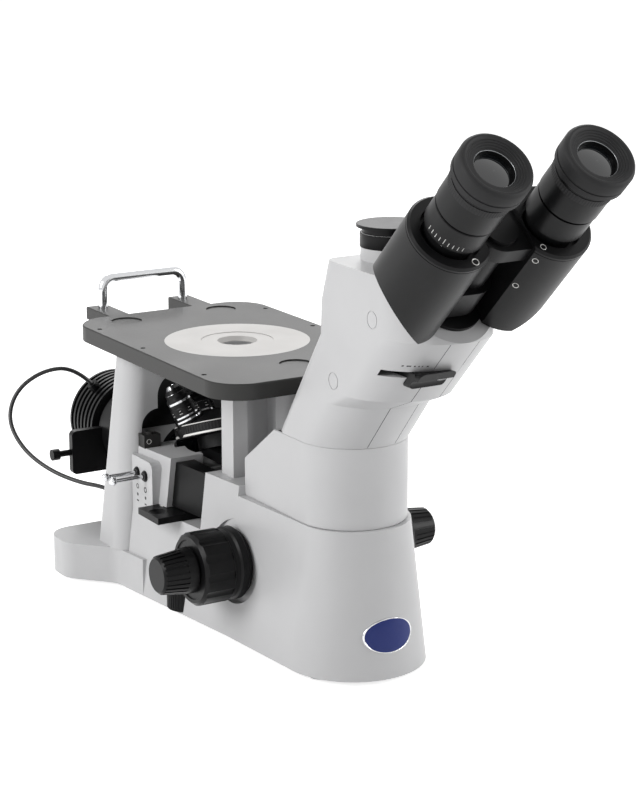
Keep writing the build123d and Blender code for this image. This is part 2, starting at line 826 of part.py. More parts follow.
# Selector lever: blade in the slot, a post down to the prism and a thumb tab that follows the head
blade_low = selector_slot + sliding_clearance
tab_bottom = blade_low - tab_low
tab_top = blade_low + blade_thickness + tab_high
with BuildPart() as selector_lever:
    with BuildSketch(Plane.XZ):
        with Locations((blade_left + tab_width / 2, (tab_bottom + tab_top) / 2)):
            RectangleRounded(tab_width, tab_top - tab_bottom, tab_corner)
    extrude(amount=2 * through)
    with BuildSketch(Plane.YZ):
        with BuildLine():
            Polyline((head_front(tab_bottom) - tab_reach, tab_bottom - overshoot),
                     (head_front(tab_bottom) + tab_root, tab_bottom - overshoot),
                     (head_front(tab_top) + tab_root, tab_top + overshoot),
                     (head_front(tab_top) - tab_reach, tab_top + overshoot), close=True)
        make_face()
    extrude(amount=2 * tab_width, both=True, mode=Mode.INTERSECT)
    add(head_envelope(2 * sliding_clearance), mode=Mode.SUBTRACT)
    # Thumb hollow along the lower front edge
    with Locations(Plane(origin=(0, head_front(tab_bottom) - tab_reach - thumb_forward,
                                 tab_bottom - thumb_drop), z_dir=(1, 0, 0))):
        Cylinder(thumb_radius, 2 * neck_half, mode=Mode.SUBTRACT)
    with Locations((blade_left, axis_y + blade_rear, blade_low)):
        Box(blade_width, axis_y + blade_rear - head_front(blade_low) + 2 * overshoot, blade_thickness,
            align=(Align.MIN, Align.MAX, Align.MIN))
    with Locations((-prism_width / 2, axis_y + port_y, selector_floor + post_rise)):
        Box(post_width, post_depth, blade_low + overshoot - selector_floor - post_rise,
            align=(Align.MAX, Align.CENTER, Align.MIN))
selector_lever.part.label = "selector_lever"
export_step(selector_lever.part, "parts/selector_lever.step")
print("selector solids", len(selector_lever.part.solids()))

# Selector prism under the camera port
with BuildPart() as selector_prism:
    with Locations((0, axis_y + port_y, selector_floor + sliding_clearance)):
        Box(prism_width, prism_depth, prism_height, align=standing)
selector_prism.part.label = "selector_prism"
export_step(selector_prism.part, "parts/selector_prism.step")

# Head prism: turns the upright beam into the tube direction
face_reach = 14.0
prism_back = 11.8
head_prism_half = 9.0
with BuildPart() as head_prism:
    prism_y = axis_y + front_centre
    half_angle = math.radians(tube_angle / 2)
    lean = face_reach * math.sin(half_angle)
    rise = face_reach * math.cos(half_angle)
    with BuildSketch(Plane.YZ):
        with BuildLine():
            Polyline((prism_y + lean, seam_height - rise), (prism_y - lean, seam_height + rise),
                     (prism_y + prism_back, seam_height + rise),
                     (prism_y + prism_back, seam_height - rise), close=True)
        make_face()
    extrude(amount=head_prism_half, both=True)
head_prism.part.label = "head_prism"
export_step(head_prism.part, "parts/head_prism.step")

# Trinocular tube: white turned tube on the head
with BuildPart() as trinocular_tube:
    with Locations((0, axis_y + port_y, head_top)):
        Cylinder(port_radius, port_top - head_top, align=standing)
        Cylinder(port_bore, port_top - head_top, align=standing, mode=Mode.SUBTRACT)
    chamfer(trinocular_tube.edges().group_by(Axis.Z)[-1], small_chamfer)
trinocular_tube.part.label = "trinocular_tube"
export_step(trinocular_tube.part, "parts/trinocular_tube.step")

# Dust cap: thin rimmed disc over a plug that goes into the port
with BuildPart() as dust_cap:
    with Locations((0, axis_y + port_y, port_top)):
        Cylinder(cap_lip, cap_height - cap_rim, align=standing)
        Cylinder(port_bore - running_clearance, cap_plug, align=hanging)
    with Locations((0, axis_y + port_y, port_top + cap_height - cap_rim)):
        Cylinder(cap_radius, cap_rim, align=standing)
    chamfer(dust_cap.edges().group_by(Axis.Z)[-1], rim_chamfer)
dust_cap.part.label = "dust_cap"
export_step(dust_cap.part, "parts/dust_cap.step")

# Pivot tube: the two prism wings fold about it
pivot_radius = 12.0
pivot_flange = 23.0
pivot_bore = 9.0
flange_depth = 3.0
pivot_lid = 2.0
leaf_low = 138.0
left_leaf_height = 24.0
right_leaf_height = 12.0
right_leaf_drop = 16.0
leaf_reach = 19.0
with BuildPart() as pivot_tube:
    with BuildSketch(tube_plane(0, face_station)):
        Circle(pivot_flange)
        Circle(pivot_bore, mode=Mode.SUBTRACT)
    extrude(amount=flange_depth)
    with BuildSketch(tube_plane(0, face_station - flange_depth)):
        Circle(pivot_radius)
        Circle(pivot_bore, mode=Mode.SUBTRACT)
    extrude(amount=face_station - flange_depth - wing_top - pivot_lid)
    with BuildSketch(tube_plane(0, wing_top + pivot_lid + overshoot)):
        Circle(pivot_radius)
    extrude(amount=pivot_lid)
pivot_tube.part.label = "pivot_tube"
export_step(pivot_tube.part, "parts/pivot_tube.step")

# Prism wings, eyepieces, eyecups and lenses of both sides
leaf_spans = {"left": (leaf_low, left_leaf_height), "right": (wing_top + right_leaf_drop, right_leaf_height)}
for name, side in (("left", -1), ("right", 1)):
    tube_x = side * ipd_max / 2
    with BuildPart() as wing:
        with BuildSketch(tube_plane(0, wing_end)):
            with Locations((tube_x, 0)):
                Circle(wing_radius)
            with Locations((side * wing_flat, 0)):
                Rectangle(through, through, align=(Align.MAX if side > 0 else Align.MIN, Align.CENTER),
                          mode=Mode.SUBTRACT)
        extrude(amount=wing_end - wing_top)
        chamfer(wing.faces().sort_by(Axis((0, 0, 0), (0, -tube_cos, tube_sin)))[-1].edges().filter_by(
            GeomType.CIRCLE), wing_chamfer)
        # Fine groove under the top plate of the wing
        with BuildSketch(tube_plane(tube_x, wing_top + wing_groove_station)):
            Circle(wing_radius + overshoot)
            Circle(wing_radius - wing_groove, mode=Mode.SUBTRACT)
        extrude(amount=wing_groove, mode=Mode.SUBTRACT)
        # Outer lower corner cut at 45 degrees along the prism
        with BuildSketch(tube_profile_plane(0)):
            with BuildLine():
                Polyline((side * wing_cut_inner, -wing_end),
                         (side * (wing_cut_inner + wing_cut_rise), -wing_end + wing_cut_rise),
                         (side * wing_cut_limit, -wing_end + wing_cut_rise),
                         (side * wing_cut_limit, -wing_end - overshoot),
                         (side * wing_cut_inner, -wing_end - overshoot), close=True)
            make_face()
        extrude(amount=2 * wing_radius, both=True, mode=Mode.SUBTRACT)
        # Hinge leaf round the pivot tube
        leaf_station, leaf_height = leaf_spans[name]
        with BuildSketch(tube_plane(0, leaf_station)):
            Circle(leaf_radius)
            Rectangle(leaf_reach, 2 * leaf_radius,
                      align=(Align.MIN if side > 0 else Align.MAX, Align.CENTER))
        extrude(amount=leaf_height)
        with BuildSketch(tube_plane(0, face_station)):
            Circle(pivot_radius + running_clearance)
        extrude(amount=face_station, mode=Mode.SUBTRACT)
        with BuildSketch(tube_plane(0, wing_end + overshoot)):
            Circle(pivot_flange + sliding_clearance)
        extrude(amount=wing_end + overshoot - face_station + flange_depth + sliding_clearance,
                mode=Mode.SUBTRACT)
        # Sector that has to be clear when the wings are folded
        with BuildSketch(tube_plane(0, wing_end + overshoot)):
            with BuildLine():
                edge_angle = math.radians(90 - fold_angle - fold_room)
                Polyline((0, 0), (side * fold_reach * math.cos(edge_angle),
                                  fold_reach * math.sin(edge_angle)), (0, fold_reach), close=True)
            make_face()
        extrude(amount=wing_end + 2 * overshoot, mode=Mode.SUBTRACT)
        # Eyepiece tube rising from a recess in the top of the wing
        with BuildSketch(tube_plane(tube_x, wing_top)):
            Circle(tube_recess_radius)
        extrude(amount=-wing_recess_depth, mode=Mode.SUBTRACT)
        with BuildSketch(tube_plane(tube_x, wing_top + wing_recess_depth)):
            Circle(tube_radius)
        extrude(amount=wing_top + wing_recess_depth - barrel_end)
        if name == "right":
            with BuildSketch(tube_plane(tube_x, ring_end)):
                Circle(ring_radius)
            extrude(amount=ring_end - ring_top)
        with BuildSketch(tube_plane(tube_x, sleeve_end + sleeve_room)):
            Circle(sleeve_radius + running_clearance)
        extrude(amount=sleeve_end + sleeve_room, mode=Mode.SUBTRACT)
        with BuildSketch(tube_plane(tube_x, wing_end - prism_window)):
            Circle(sleeve_bore)
        extrude(amount=prism_window_depth, mode=Mode.SUBTRACT)
    wing.part.label = name + "_wing"
    export_step(wing.part, "parts/" + name + "_wing.step")

    with BuildPart() as eyepiece:
        with BuildSketch(tube_profile_plane(tube_x)):
            with BuildLine():
                Polyline((lens_opening, -cup_top), (cup_seat_radius, -cup_top),
                         (cup_seat_radius, -barrel_top - 0.5), (barrel_radius, -barrel_top - 1),
                         (barrel_radius, -barrel_end), (sleeve_radius, -barrel_end),
                         (sleeve_radius, -sleeve_end), (sleeve_bore, -sleeve_end),
                         (sleeve_bore, -lens_seat), (lens_opening, -lens_seat), close=True)
            make_face()
        revolve(axis=tube_axis(tube_x))
    eyepiece.part.label = name + "_eyepiece"
    export_step(eyepiece.part, "parts/" + name + "_eyepiece.step")

    with BuildPart() as eyecup:
        with BuildSketch(tube_profile_plane(tube_x)):
            with BuildLine():
                Polyline((lens_opening, -cup_top), (lens_opening, -0.5), (lens_opening + 4, 1.5),
                         (eyecup_radius - 3, 4), (eyecup_radius - cup_bead, 3.6), (eyecup_radius, 2),
                         (eyecup_radius, -barrel_top + 2), (eyecup_radius - cup_bead, -barrel_top),
                         (cup_seat_radius + fit_clearance, -barrel_top),
                         (cup_seat_radius + fit_clearance, -cup_top), close=True)
            make_face()
        revolve(axis=tube_axis(tube_x))
    eyecup.part.label = name + "_eyecup"
    export_step(eyecup.part, "parts/" + name + "_eyecup.step")

    with BuildPart() as eye_lens:
        with BuildSketch(tube_profile_plane(tube_x)):
            with BuildLine():
                Polyline((0, -lens_top), (0, -lens_seat), (lens_opening - fit_clearance, -lens_seat),
                         (lens_opening - fit_clearance, -lens_edge))
                TangentArc((0, -lens_top), (lens_opening - fit_clearance, -lens_edge), tangent=(1, 0))
            make_face()
        revolve(axis=tube_axis(tube_x))
    eye_lens.part.label = name + "_eye_lens"
    export_step(eye_lens.part, "parts/" + name + "_eye_lens.step")

# Diopter ring on the left tube
with BuildPart() as diopter_ring:
    with BuildSketch(tube_plane(-ipd_max / 2, ring_end)):
        Circle(ring_radius)
        Circle(tube_radius + running_clearance, mode=Mode.SUBTRACT)
    extrude(amount=ring_end - ring_top)
    rims = diopter_ring.edges().filter_by(GeomType.CIRCLE)
    chamfer(rims.filter_by(lambda e: e.radius > ring_radius - 0.1), rim_chamfer)
diopter_ring.part.label = "diopter_ring"
export_step(diopter_ring.part, "parts/diopter_ring.step")

# Fold mirrors: glass posts cut at 45 degrees in the beam tunnel
post_radius = light_bore / 2 - 0.2
with BuildPart() as fold_mirrors:
    for mirror_y, facing in ((axis_y, -1), (axis_y + front_centre, 1)):
        with BuildPart(mode=Mode.PRIVATE) as mirror_post:
            with Locations((0, mirror_y, plate_top)):
                Cylinder(post_radius, 2 * (beam_height - plate_top), align=standing)
            split(bisect_by=Plane(origin=(0, mirror_y, beam_height), z_dir=(0, facing, 1)),
                  keep=Keep.BOTTOM)
        add(mirror_post.part)
fold_mirrors.part.label = "fold_mirrors"
export_step(fold_mirrors.part, "parts/fold_mirrors.step")

# Tube lens in its cell inside the beam tunnel
tube_lens_y = -50.0
tube_lens_thickness = 8.0
with BuildPart() as tube_lens:
    with Locations(Plane(origin=(0, axis_y + tube_lens_y, beam_height), z_dir=(0, 1, 0))):
        Cylinder(light_bore / 2 - fit_clearance, tube_lens_thickness)
tube_lens.part.label = "tube_lens"
export_step(tube_lens.part, "parts/tube_lens.step")

# Beam splitter cube in its seat behind the optical axis
with BuildPart() as beam_splitter:
    with Locations((0, axis_y, light_height)):
        Box(splitter_side, splitter_side, splitter_side)
beam_splitter.part.label = "beam_splitter"
export_step(beam_splitter.part, "parts/beam_splitter.step")

# Guide rails of the nosepiece carriage
tongue_reach = 3.0
tongue_front = -34.0
tongue_rear = -28.0
plate_front = slot_front_y + 1
plate_rear = -22.0
rail_height = 46.0
cover_reach = 60.0
cover_rise = 1.0
cover_corner = 2.0
with BuildPart() as focus_guide:
    for side in (-1, 1):
        outer = Align.MIN if side > 0 else Align.MAX
        with Locations((side * (carriage_half + running_clearance), axis_y + slot_front_y, slot_floor)):
            Box(slot_inner_x - carriage_half - running_clearance, plate_rear - slot_front_y, rail_height,
                align=(outer, Align.MIN, Align.MIN))
        with Locations((side * (carriage_half - tongue_reach + running_clearance), axis_y + tongue_front,
                        slot_floor)):
            Box(tongue_reach, tongue_rear - tongue_front, rail_height, align=(outer, Align.MIN, Align.MIN))
    # Black cover of the drive, which follows the taper of the casting a little inside it
    with BuildPart(mode=Mode.PRIVATE) as taper:
        with BuildSketch(Plane.XY.offset(casting_bottom)):
            with BuildLine():
                casting_section(front_half_bottom, waist_half_bottom, rear_half_bottom, guide_inset)
            make_face()
        with BuildSketch(Plane.XY.offset(block_top)):
            with BuildLine():
                casting_section(front_half_top, waist_half_top, rear_half_top, guide_inset)
            make_face()
        loft(ruled=True)
    with BuildPart(mode=Mode.PRIVATE) as drive_cover:
        with Locations((-slot_inner_x, axis_y + slot_front_y, tray_top + cover_rise)):
            Box(cover_reach, slot_rear_y - slot_front_y, guide_top - tray_top - cover_rise,
                align=(Align.MAX, Align.MIN, Align.MIN))
        add(taper.part, mode=Mode.INTERSECT)
        fillet(drive_cover.edges().filter_by(Axis.Y).group_by(Axis.Z)[-1].group_by(Axis.X)[0], cover_corner)
    add(drive_cover.part)
focus_guide.part.label = "focus_guide"
export_step(focus_guide.part, "parts/focus_guide.step")

# Nosepiece carriage: plate on the rails, foot for the rack, arm and tilted seat of the nosepiece
rack_back_y = focus_y + pinion_radius + rack_depth
with BuildPart() as nosepiece_carriage:
    with Locations((0, axis_y + plate_front, carriage_bottom)):
        Box(2 * carriage_half, plate_rear - plate_front, arm_height + arm_thickness - carriage_bottom,
            align=(Align.CENTER, Align.MIN, Align.MIN))
    with Locations((0, axis_y + plate_front - foot_overlap, rack_foot_low)):
        Box(rack_foot_width, plate_front - foot_overlap - rack_back_y, rack_foot_high - rack_foot_low,
            align=(Align.CENTER, Align.MAX, Align.MIN))
    with Locations((0, axis_y + plate_front, carriage_bottom)):
        Box(rack_foot_width, foot_overlap, rack_foot_high - carriage_bottom,
            align=(Align.CENTER, Align.MAX, Align.MIN))
    with Locations((0, axis_y + plate_rear, arm_height)):
        Box(arm_width, arm_length, arm_thickness, align=(Align.CENTER, Align.MIN, Align.MIN))
    with Locations(nosepiece.offset(-turret_half - sliding_clearance)):
        Cylinder(turret_boss_radius, turret_boss_height, align=hanging)
        Cylinder(turret_pin_radius, 2 * turret_half + sliding_clearance, align=standing)
    with Locations((0, axis_y, arm_height)):
        Cylinder(light_tube, through, mode=Mode.SUBTRACT)
    for side in (-1, 1):
        outer = Align.MIN if side > 0 else Align.MAX
        with Locations((side * (carriage_half - tongue_reach), axis_y + tongue_front - running_clearance,
                        carriage_bottom)):
            Box(2 * tongue_reach, tongue_rear - tongue_front + 2 * running_clearance, through,
                align=(outer, Align.MIN, Align.MIN), mode=Mode.SUBTRACT)
nosepiece_carriage.part.label = "nosepiece_carriage"
export_step(nosepiece_carriage.part, "parts/nosepiece_carriage.step")
print("carriage solids", len(nosepiece_carriage.part.solids()))

# Focus rack on the carriage foot: straight flanks at the pressure angle
gear_pitch = math.pi * gear_module
tooth_slope = math.tan(math.radians(pressure_angle))
tooth_half = (gear_pitch / 2 - gear_backlash / 2) / 2
rack_teeth = 9
with BuildPart() as focus_rack:
    pitch_line = axis_y + focus_y + pinion_radius
    tip_half = tooth_half - gear_module * tooth_slope
    root_half = tooth_half + dedendum * gear_module * tooth_slope
    outline = []
    for index in range(rack_teeth):
        tooth_z = focus_height + (index - (rack_teeth - 1) / 2) * gear_pitch
        outline += [(pitch_line + dedendum * gear_module, tooth_z - root_half),
                    (pitch_line - gear_module, tooth_z - tip_half),
                    (pitch_line - gear_module, tooth_z + tip_half),
                    (pitch_line + dedendum * gear_module, tooth_z + root_half)]
    with BuildSketch(Plane.YZ):
        with BuildLine():
            Polyline(outline + [(axis_y + rack_back_y, outline[-1][1]),
                                (axis_y + rack_back_y, outline[0][1])], close=True)
        make_face()
    extrude(amount=gear_width / 2, both=True)
focus_rack.part.label = "focus_rack"
export_step(focus_rack.part, "parts/focus_rack.step")

# Bushes of the focus shafts
with BuildPart() as shaft_bushes:
    for side, outer_end in ((-1, bush_end), (1, knob_pocket_x + tension_width + 0.8)):
        length = outer_end - bush_inner
        with Locations(Plane(origin=(side * bush_inner, focus_axis_y, focus_height), z_dir=(side, 0, 0))):
            Cylinder(bush_radius, length, align=standing)
            Cylinder(coarse_shaft_radius + running_clearance, length, align=standing, mode=Mode.SUBTRACT)
shaft_bushes.part.label = "shaft_bushes"
export_step(shaft_bushes.part, "parts/shaft_bushes.step")


def involute(base_radius, roll):
    """Point of the involute of a circle after rolling by an angle in radians."""
    return (base_radius * (math.cos(roll) + roll * math.sin(roll)),
            base_radius * (math.sin(roll) - roll * math.cos(roll)))


# Coarse shaft: hollow, with the pinion cut on its middle
with BuildPart() as coarse_shaft:
    with BuildSketch(Plane.YZ.offset(-coarse_shaft_half)):
        with Locations((focus_axis_y, focus_height)):
            Circle(coarse_shaft_radius)
    extrude(amount=2 * coarse_shaft_half)
    base_radius = pinion_radius * math.cos(math.radians(pressure_angle))
    tip_roll = math.sqrt(((pinion_radius + gear_module) / base_radius) ** 2 - 1)
    pitch_roll = math.tan(math.radians(pressure_angle))
    pitch_polar = pitch_roll - math.radians(pressure_angle)
    half_tooth = tooth_half / pinion_radius
    flank = [involute(base_radius, tip_roll * step / flank_steps) for step in range(flank_steps + 1)]
    turn = half_tooth + pitch_polar
    gear_outline = []
    for index in range(pinion_teeth):
        middle = 2 * math.pi * (index + 0.5) / pinion_teeth
        tooth = [(radius, middle - turn + angle) for radius, angle in
                 [(math.hypot(x, y), math.atan2(y, x)) for x, y in flank]]
        tooth += [(radius, 2 * middle - angle) for radius, angle in tooth[::-1]]
        root_radius = coarse_shaft_radius - root_drop
        root = [(root_radius, tooth[0][1] - 0.01), (root_radius, tooth[-1][1] + 0.01)]
        gear_outline += [(radius * math.cos(angle), radius * math.sin(angle))
                         for radius, angle in [root[0]] + tooth + [root[1]]]
    with BuildSketch(Plane.YZ.offset(-gear_width / 2)):
        with Locations((focus_axis_y, focus_height)):
            Polygon(*gear_outline, align=None)
    extrude(amount=gear_width)
    with Locations(Plane(origin=(0, focus_axis_y, focus_height), z_dir=(1, 0, 0))):
        Cylinder(fine_shaft_radius + running_clearance, 2 * coarse_shaft_half, mode=Mode.SUBTRACT)
coarse_shaft.part.label = "coarse_shaft"
export_step(coarse_shaft.part, "parts/coarse_shaft.step")
print("coarse shaft solids", len(coarse_shaft.part.solids()))

# Fine shaft through the coarse one
with BuildPart() as fine_shaft:
    with Locations(Plane(origin=(0, focus_axis_y, focus_height), z_dir=(1, 0, 0))):
        Cylinder(fine_shaft_radius, 2 * fine_shaft_half)
fine_shaft.part.label = "fine_shaft"
export_step(fine_shaft.part, "parts/fine_shaft.step")


def knob_profile_plane(side):
    """Plane through the focus axis: local x runs out of the body, local y is the radius."""
    return Plane(origin=(0, focus_axis_y, focus_height), x_dir=(side, 0, 0), z_dir=(0, -side, 0))


focus_axis = Axis((0, focus_axis_y, focus_height), (1, 0, 0))


def groove_plane(side, index):
    """Plane on the cone of a fine knob: local x runs to its face, local z points out of it."""
    angle = 2 * math.pi * index / fine_grooves
    outward = Vector(0, math.cos(angle), math.sin(angle))
    centre = Vector(0, focus_axis_y, focus_height)
    face_point = centre + Vector(side * knob_face, 0, 0) + outward * fine_radius_face
    root_point = centre + Vector(side * (coarse_face + 0.5), 0, 0) + outward * fine_radius_inner
    along = (face_point - root_point).normalized()
    around = Vector(1, 0, 0).cross(outward)
    normal = along.cross(around)
    if normal.dot(outward) < 0:
        normal = normal * -1
    return Plane(origin=face_point, x_dir=along, z_dir=normal)


# Focus knobs: coarse wheels with the fine knobs in front of them
for name, side, inner_face in (("left", -1, coarse_inner),
                               ("right", 1, coarse_inner + tension_width + 0.3)):
    with BuildPart() as coarse_knob:
        with BuildSketch(knob_profile_plane(side)):
            with BuildLine():
                shaft_seat = coarse_shaft_radius + fit_clearance
                Polyline((inner_face, shaft_seat), (inner_face, coarse_radius - 3),
                         (inner_face + 3, coarse_radius - 3),
                         (inner_face + 3, coarse_radius - 1), (inner_face + 4, coarse_radius),
                         (coarse_groove - 1.5, coarse_radius), (coarse_groove, coarse_radius - 1.5),
                         (coarse_groove + 4, coarse_radius - 1.5), (coarse_groove + 5, coarse_radius),
                         (coarse_face - 2.5, coarse_radius), (coarse_face, coarse_radius - 2.5),
                         (coarse_face, coarse_radius - 5), (coarse_face - 1, coarse_radius - 5.5),
                         (coarse_face - 1, fine_shaft_radius + 1),
                         (coarse_shaft_half, fine_shaft_radius + 1),
                         (coarse_shaft_half, shaft_seat), close=True)
            make_face()
        revolve(axis=focus_axis)
        with BuildSketch(Plane(origin=(side * coarse_face, focus_axis_y, focus_height),
                               z_dir=(side, 0, 0))):
            with PolarLocations(coarse_radius + flute_radius - flute_depth, coarse_flutes):
                Circle(flute_radius)
        extrude(amount=-(coarse_face - coarse_groove - 5), mode=Mode.SUBTRACT)
    coarse_knob.part.label = "coarse_knob_" + name
    export_step(coarse_knob.part, "parts/coarse_knob_" + name + ".step")

    with BuildPart() as fine_knob:
        with BuildSketch(knob_profile_plane(side)):
            with BuildLine():
                shaft_seat = fine_shaft_radius + fit_clearance
                Polyline((coarse_face + 0.5, shaft_seat), (coarse_face + 0.5, fine_radius_inner),
                         (knob_face - 2, fine_radius_face), (knob_face, fine_radius_face - 2),
                         (knob_face, 0), (fine_shaft_half, 0), (fine_shaft_half, shaft_seat), close=True)
            make_face()
        revolve(axis=focus_axis)
        with Locations(*[groove_plane(side, index) for index in range(fine_grooves)]):
            Box(groove_length, groove_width, 2 * groove_depth,
                align=(Align.MAX, Align.CENTER, Align.CENTER), mode=Mode.SUBTRACT)
    fine_knob.part.label = "fine_knob_" + name
    export_step(fine_knob.part, "parts/fine_knob_" + name + ".step")

# Tension ring beside the right coarse knob
with BuildPart() as tension_ring:
    with Locations(Plane(origin=(knob_pocket_x + 0.2, focus_axis_y, focus_height), z_dir=(1, 0, 0))):
        Cylinder(coarse_radius - 3, tension_width, align=standing)
        Cylinder(bush_radius + running_clearance, tension_width, align=standing, mode=Mode.SUBTRACT)
tension_ring.part.label = "tension_ring"
export_step(tension_ring.part, "parts/tension_ring.step")

# Revolving nosepiece and its objectives, tilted about the turret axis
apex = Vector(0, axis_y, apex_z)
turret_normal = Vector(0, tilt_sin, tilt_cos)
turret_back = Vector(0, tilt_cos, -tilt_sin)
turret_side = Vector(1, 0, 0)
cone_angle = math.radians(turret_tilt)


def objective_direction(index):
    """Direction of one objective axis, from the point where all of them meet under the nosepiece."""
    turn = index * 2 * math.pi / objective_count
    outward = turret_back * -math.cos(turn) + turret_side * math.sin(turn)
    return turret_normal * math.cos(cone_angle) + outward * math.sin(cone_angle)


def objective_plane(index, distance):
    """Plane square to one objective axis at a distance from the common point."""
    direction = objective_direction(index)
    across = direction.cross(Vector(0, 0.3, 1)).normalized() if index else Vector(1, 0, 0)
    return Plane(origin=apex + direction * distance, x_dir=across, z_dir=direction)


with BuildPart() as turret_ring:
    with Locations(nosepiece.offset(-turret_half)):
        Cylinder(turret_radius, 2 * turret_half, align=standing)
    chamfer(turret_ring.edges().filter_by(GeomType.CIRCLE), small_chamfer)
    with Locations(nosepiece.offset(turret_half)):
        Cone(turret_radius - turret_cone_drop, turret_cone_top, turret_cone_height, align=standing)
    seats = [objective_plane(index, objective_seat) for index in range(objective_count)]
    with Locations(*seats):
        Cylinder(objective_collar + objective_seat_gap + seat_wall, seat_height, align=hanging)
    with Locations(*seats):
        Cylinder(objective_collar + objective_seat_gap, seat_height, align=standing, mode=Mode.SUBTRACT)
    with Locations(*seats):
        Cylinder(objective_bore, 3 * seat_height, mode=Mode.SUBTRACT)
    with Locations(nosepiece.offset(-turret_half)):
        Cylinder(turret_pin_radius + running_clearance, 2 * turret_half + overshoot, align=standing,
                 mode=Mode.SUBTRACT)
    # The underside stays flat where the bosses reach through it
    with Locations(nosepiece.offset(-turret_half)):
        Cylinder(2 * turret_radius, 2 * seat_height, align=hanging, mode=Mode.SUBTRACT)
turret_ring.part.label = "turret_ring"
export_step(turret_ring.part, "parts/turret_ring.step")
print("turret solids", len(turret_ring.part.solids()))

objective_names = ("front", "right", "rear", "left")
for index in range(objective_count):
    length = objective_tips[index] - objective_seat
    with BuildPart() as objective:
        plane = objective_plane(index, objective_seat)
        with BuildSketch(Plane(origin=plane.origin, x_dir=plane.x_dir, z_dir=-plane.y_dir)):
            with BuildLine():
                Polyline((0, 0), (objective_collar, 0), (objective_collar, 5), (objective_barrel, 6),
                         (objective_barrel, 14), (objective_sleeve, 14.6), (objective_sleeve, length - 11),
                         (objective_nose, length - 9), (objective_nose, length - 6),
                         (objective_front_lens, length), (0, length), close=True)
            make_face()
        revolve(axis=Axis(plane.origin, plane.z_dir))
    objective.part.label = "objective_" + objective_names[index]
    export_step(objective.part, "parts/objective_" + objective_names[index] + ".step")

# Brightness wheel lying in the left side of the base
with BuildPart() as brightness_wheel:
    with Locations((wheel_x, axis_y + wheel_y, plate_top + wheel_lift)):
        Cylinder(wheel_radius, wheel_height, align=standing)
        Cylinder(axle_radius, wheel_height + axle_reach, align=standing)
brightness_wheel.part.label = "brightness_wheel"
export_step(brightness_wheel.part, "parts/brightness_wheel.step")

# Filter tray that slides through the block under the beam splitter
with BuildPart() as filter_tray:
    with Locations((tray_inner_x, axis_y, tray_top)):
        Box(tray_inner_x - tray_outer_x, 2 * tray_half, tray_thickness,
            align=(Align.MAX, Align.CENTER, Align.MAX))
    with Locations((0, axis_y, tray_top)):
        Cylinder(tray_hole_radius, 2 * tray_thickness, mode=Mode.SUBTRACT)
    with Locations((tray_outer_x + finger_inset, axis_y, tray_top + finger_rise)):
        Sphere(finger_radius, mode=Mode.SUBTRACT)
filter_tray.part.label = "filter_tray"
export_step(filter_tray.part, "parts/filter_tray.step")

# Pull rods of the two diaphragms
for name, rod_y in (("field", rod_places[0]), ("aperture", rod_places[1])):
    with BuildPart() as lever:
        with BuildSketch(Plane(origin=(0, axis_y + rod_y, rod_height), x_dir=(1, 0, 0), z_dir=(0, -1, 0))):
            with BuildLine():
                neck_x = rod_end_x + math.sqrt(ball_radius ** 2 - rod_radius ** 2)
                ThreePointArc((rod_end_x - ball_radius, 0), (rod_end_x, ball_radius), (neck_x, rod_radius))
                Polyline((neck_x, rod_radius), (rod_root_x, rod_radius), (rod_root_x, 0),
                         (rod_end_x - ball_radius, 0))
            make_face()
        revolve(axis=Axis((0, axis_y + rod_y, rod_height), (1, 0, 0)))
    lever.part.label = name + "_diaphragm_lever"
    export_step(lever.part, "parts/" + name + "_diaphragm_lever.step")

lamp_axis = Axis((0, 0, light_height), (0, 1, 0))

# Lamp housing behind the column
lamp_body_y = 98.0
lens_ledge_y = 97.0
lens_radius = 18.0
lens_front_y = 90.0
lens_rim_y = 94.0
with BuildPart() as lamp_housing:
    with BuildSketch(Plane.YZ):
        with BuildLine():
            Polyline([(axis_y + along, light_height + radius) for along, radius in (
                (lamp_start, lens_radius + fit_clearance), (lamp_start, lamp_nose_radius),
                (lamp_body_y, lamp_nose_radius), (lamp_body_y, lamp_radius - 3),
                (lamp_body_y + 3, lamp_radius),
                (lamp_plate_y, lamp_radius), (lamp_plate_y, lamp_radius - lamp_wall),
                (lamp_body_y + lamp_wall, lamp_radius - lamp_wall),
                (lamp_body_y + lamp_wall, lens_radius - 2), (lens_ledge_y, lens_radius - 2),
                (lens_ledge_y, lens_radius + fit_clearance))], close=True)
        make_face()
    revolve(axis=lamp_axis)
lamp_housing.part.label = "lamp_housing"
export_step(lamp_housing.part, "parts/lamp_housing.step")

# Collector lens in the nose of the lamp housing
with BuildPart() as collector_lens:
    with BuildSketch(Plane.YZ):
        with BuildLine():
            Line((axis_y + lens_front_y, light_height), (axis_y + lens_ledge_y, light_height))
            Line((axis_y + lens_ledge_y, light_height), (axis_y + lens_ledge_y, light_height + lens_radius))
            Line((axis_y + lens_ledge_y, light_height + lens_radius),
                 (axis_y + lens_rim_y, light_height + lens_radius))
            TangentArc((axis_y + lens_front_y, light_height),
                       (axis_y + lens_rim_y, light_height + lens_radius), tangent=(0, 1))
        make_face()
    revolve(axis=lamp_axis)
collector_lens.part.label = "collector_lens"
export_step(collector_lens.part, "parts/collector_lens.step")

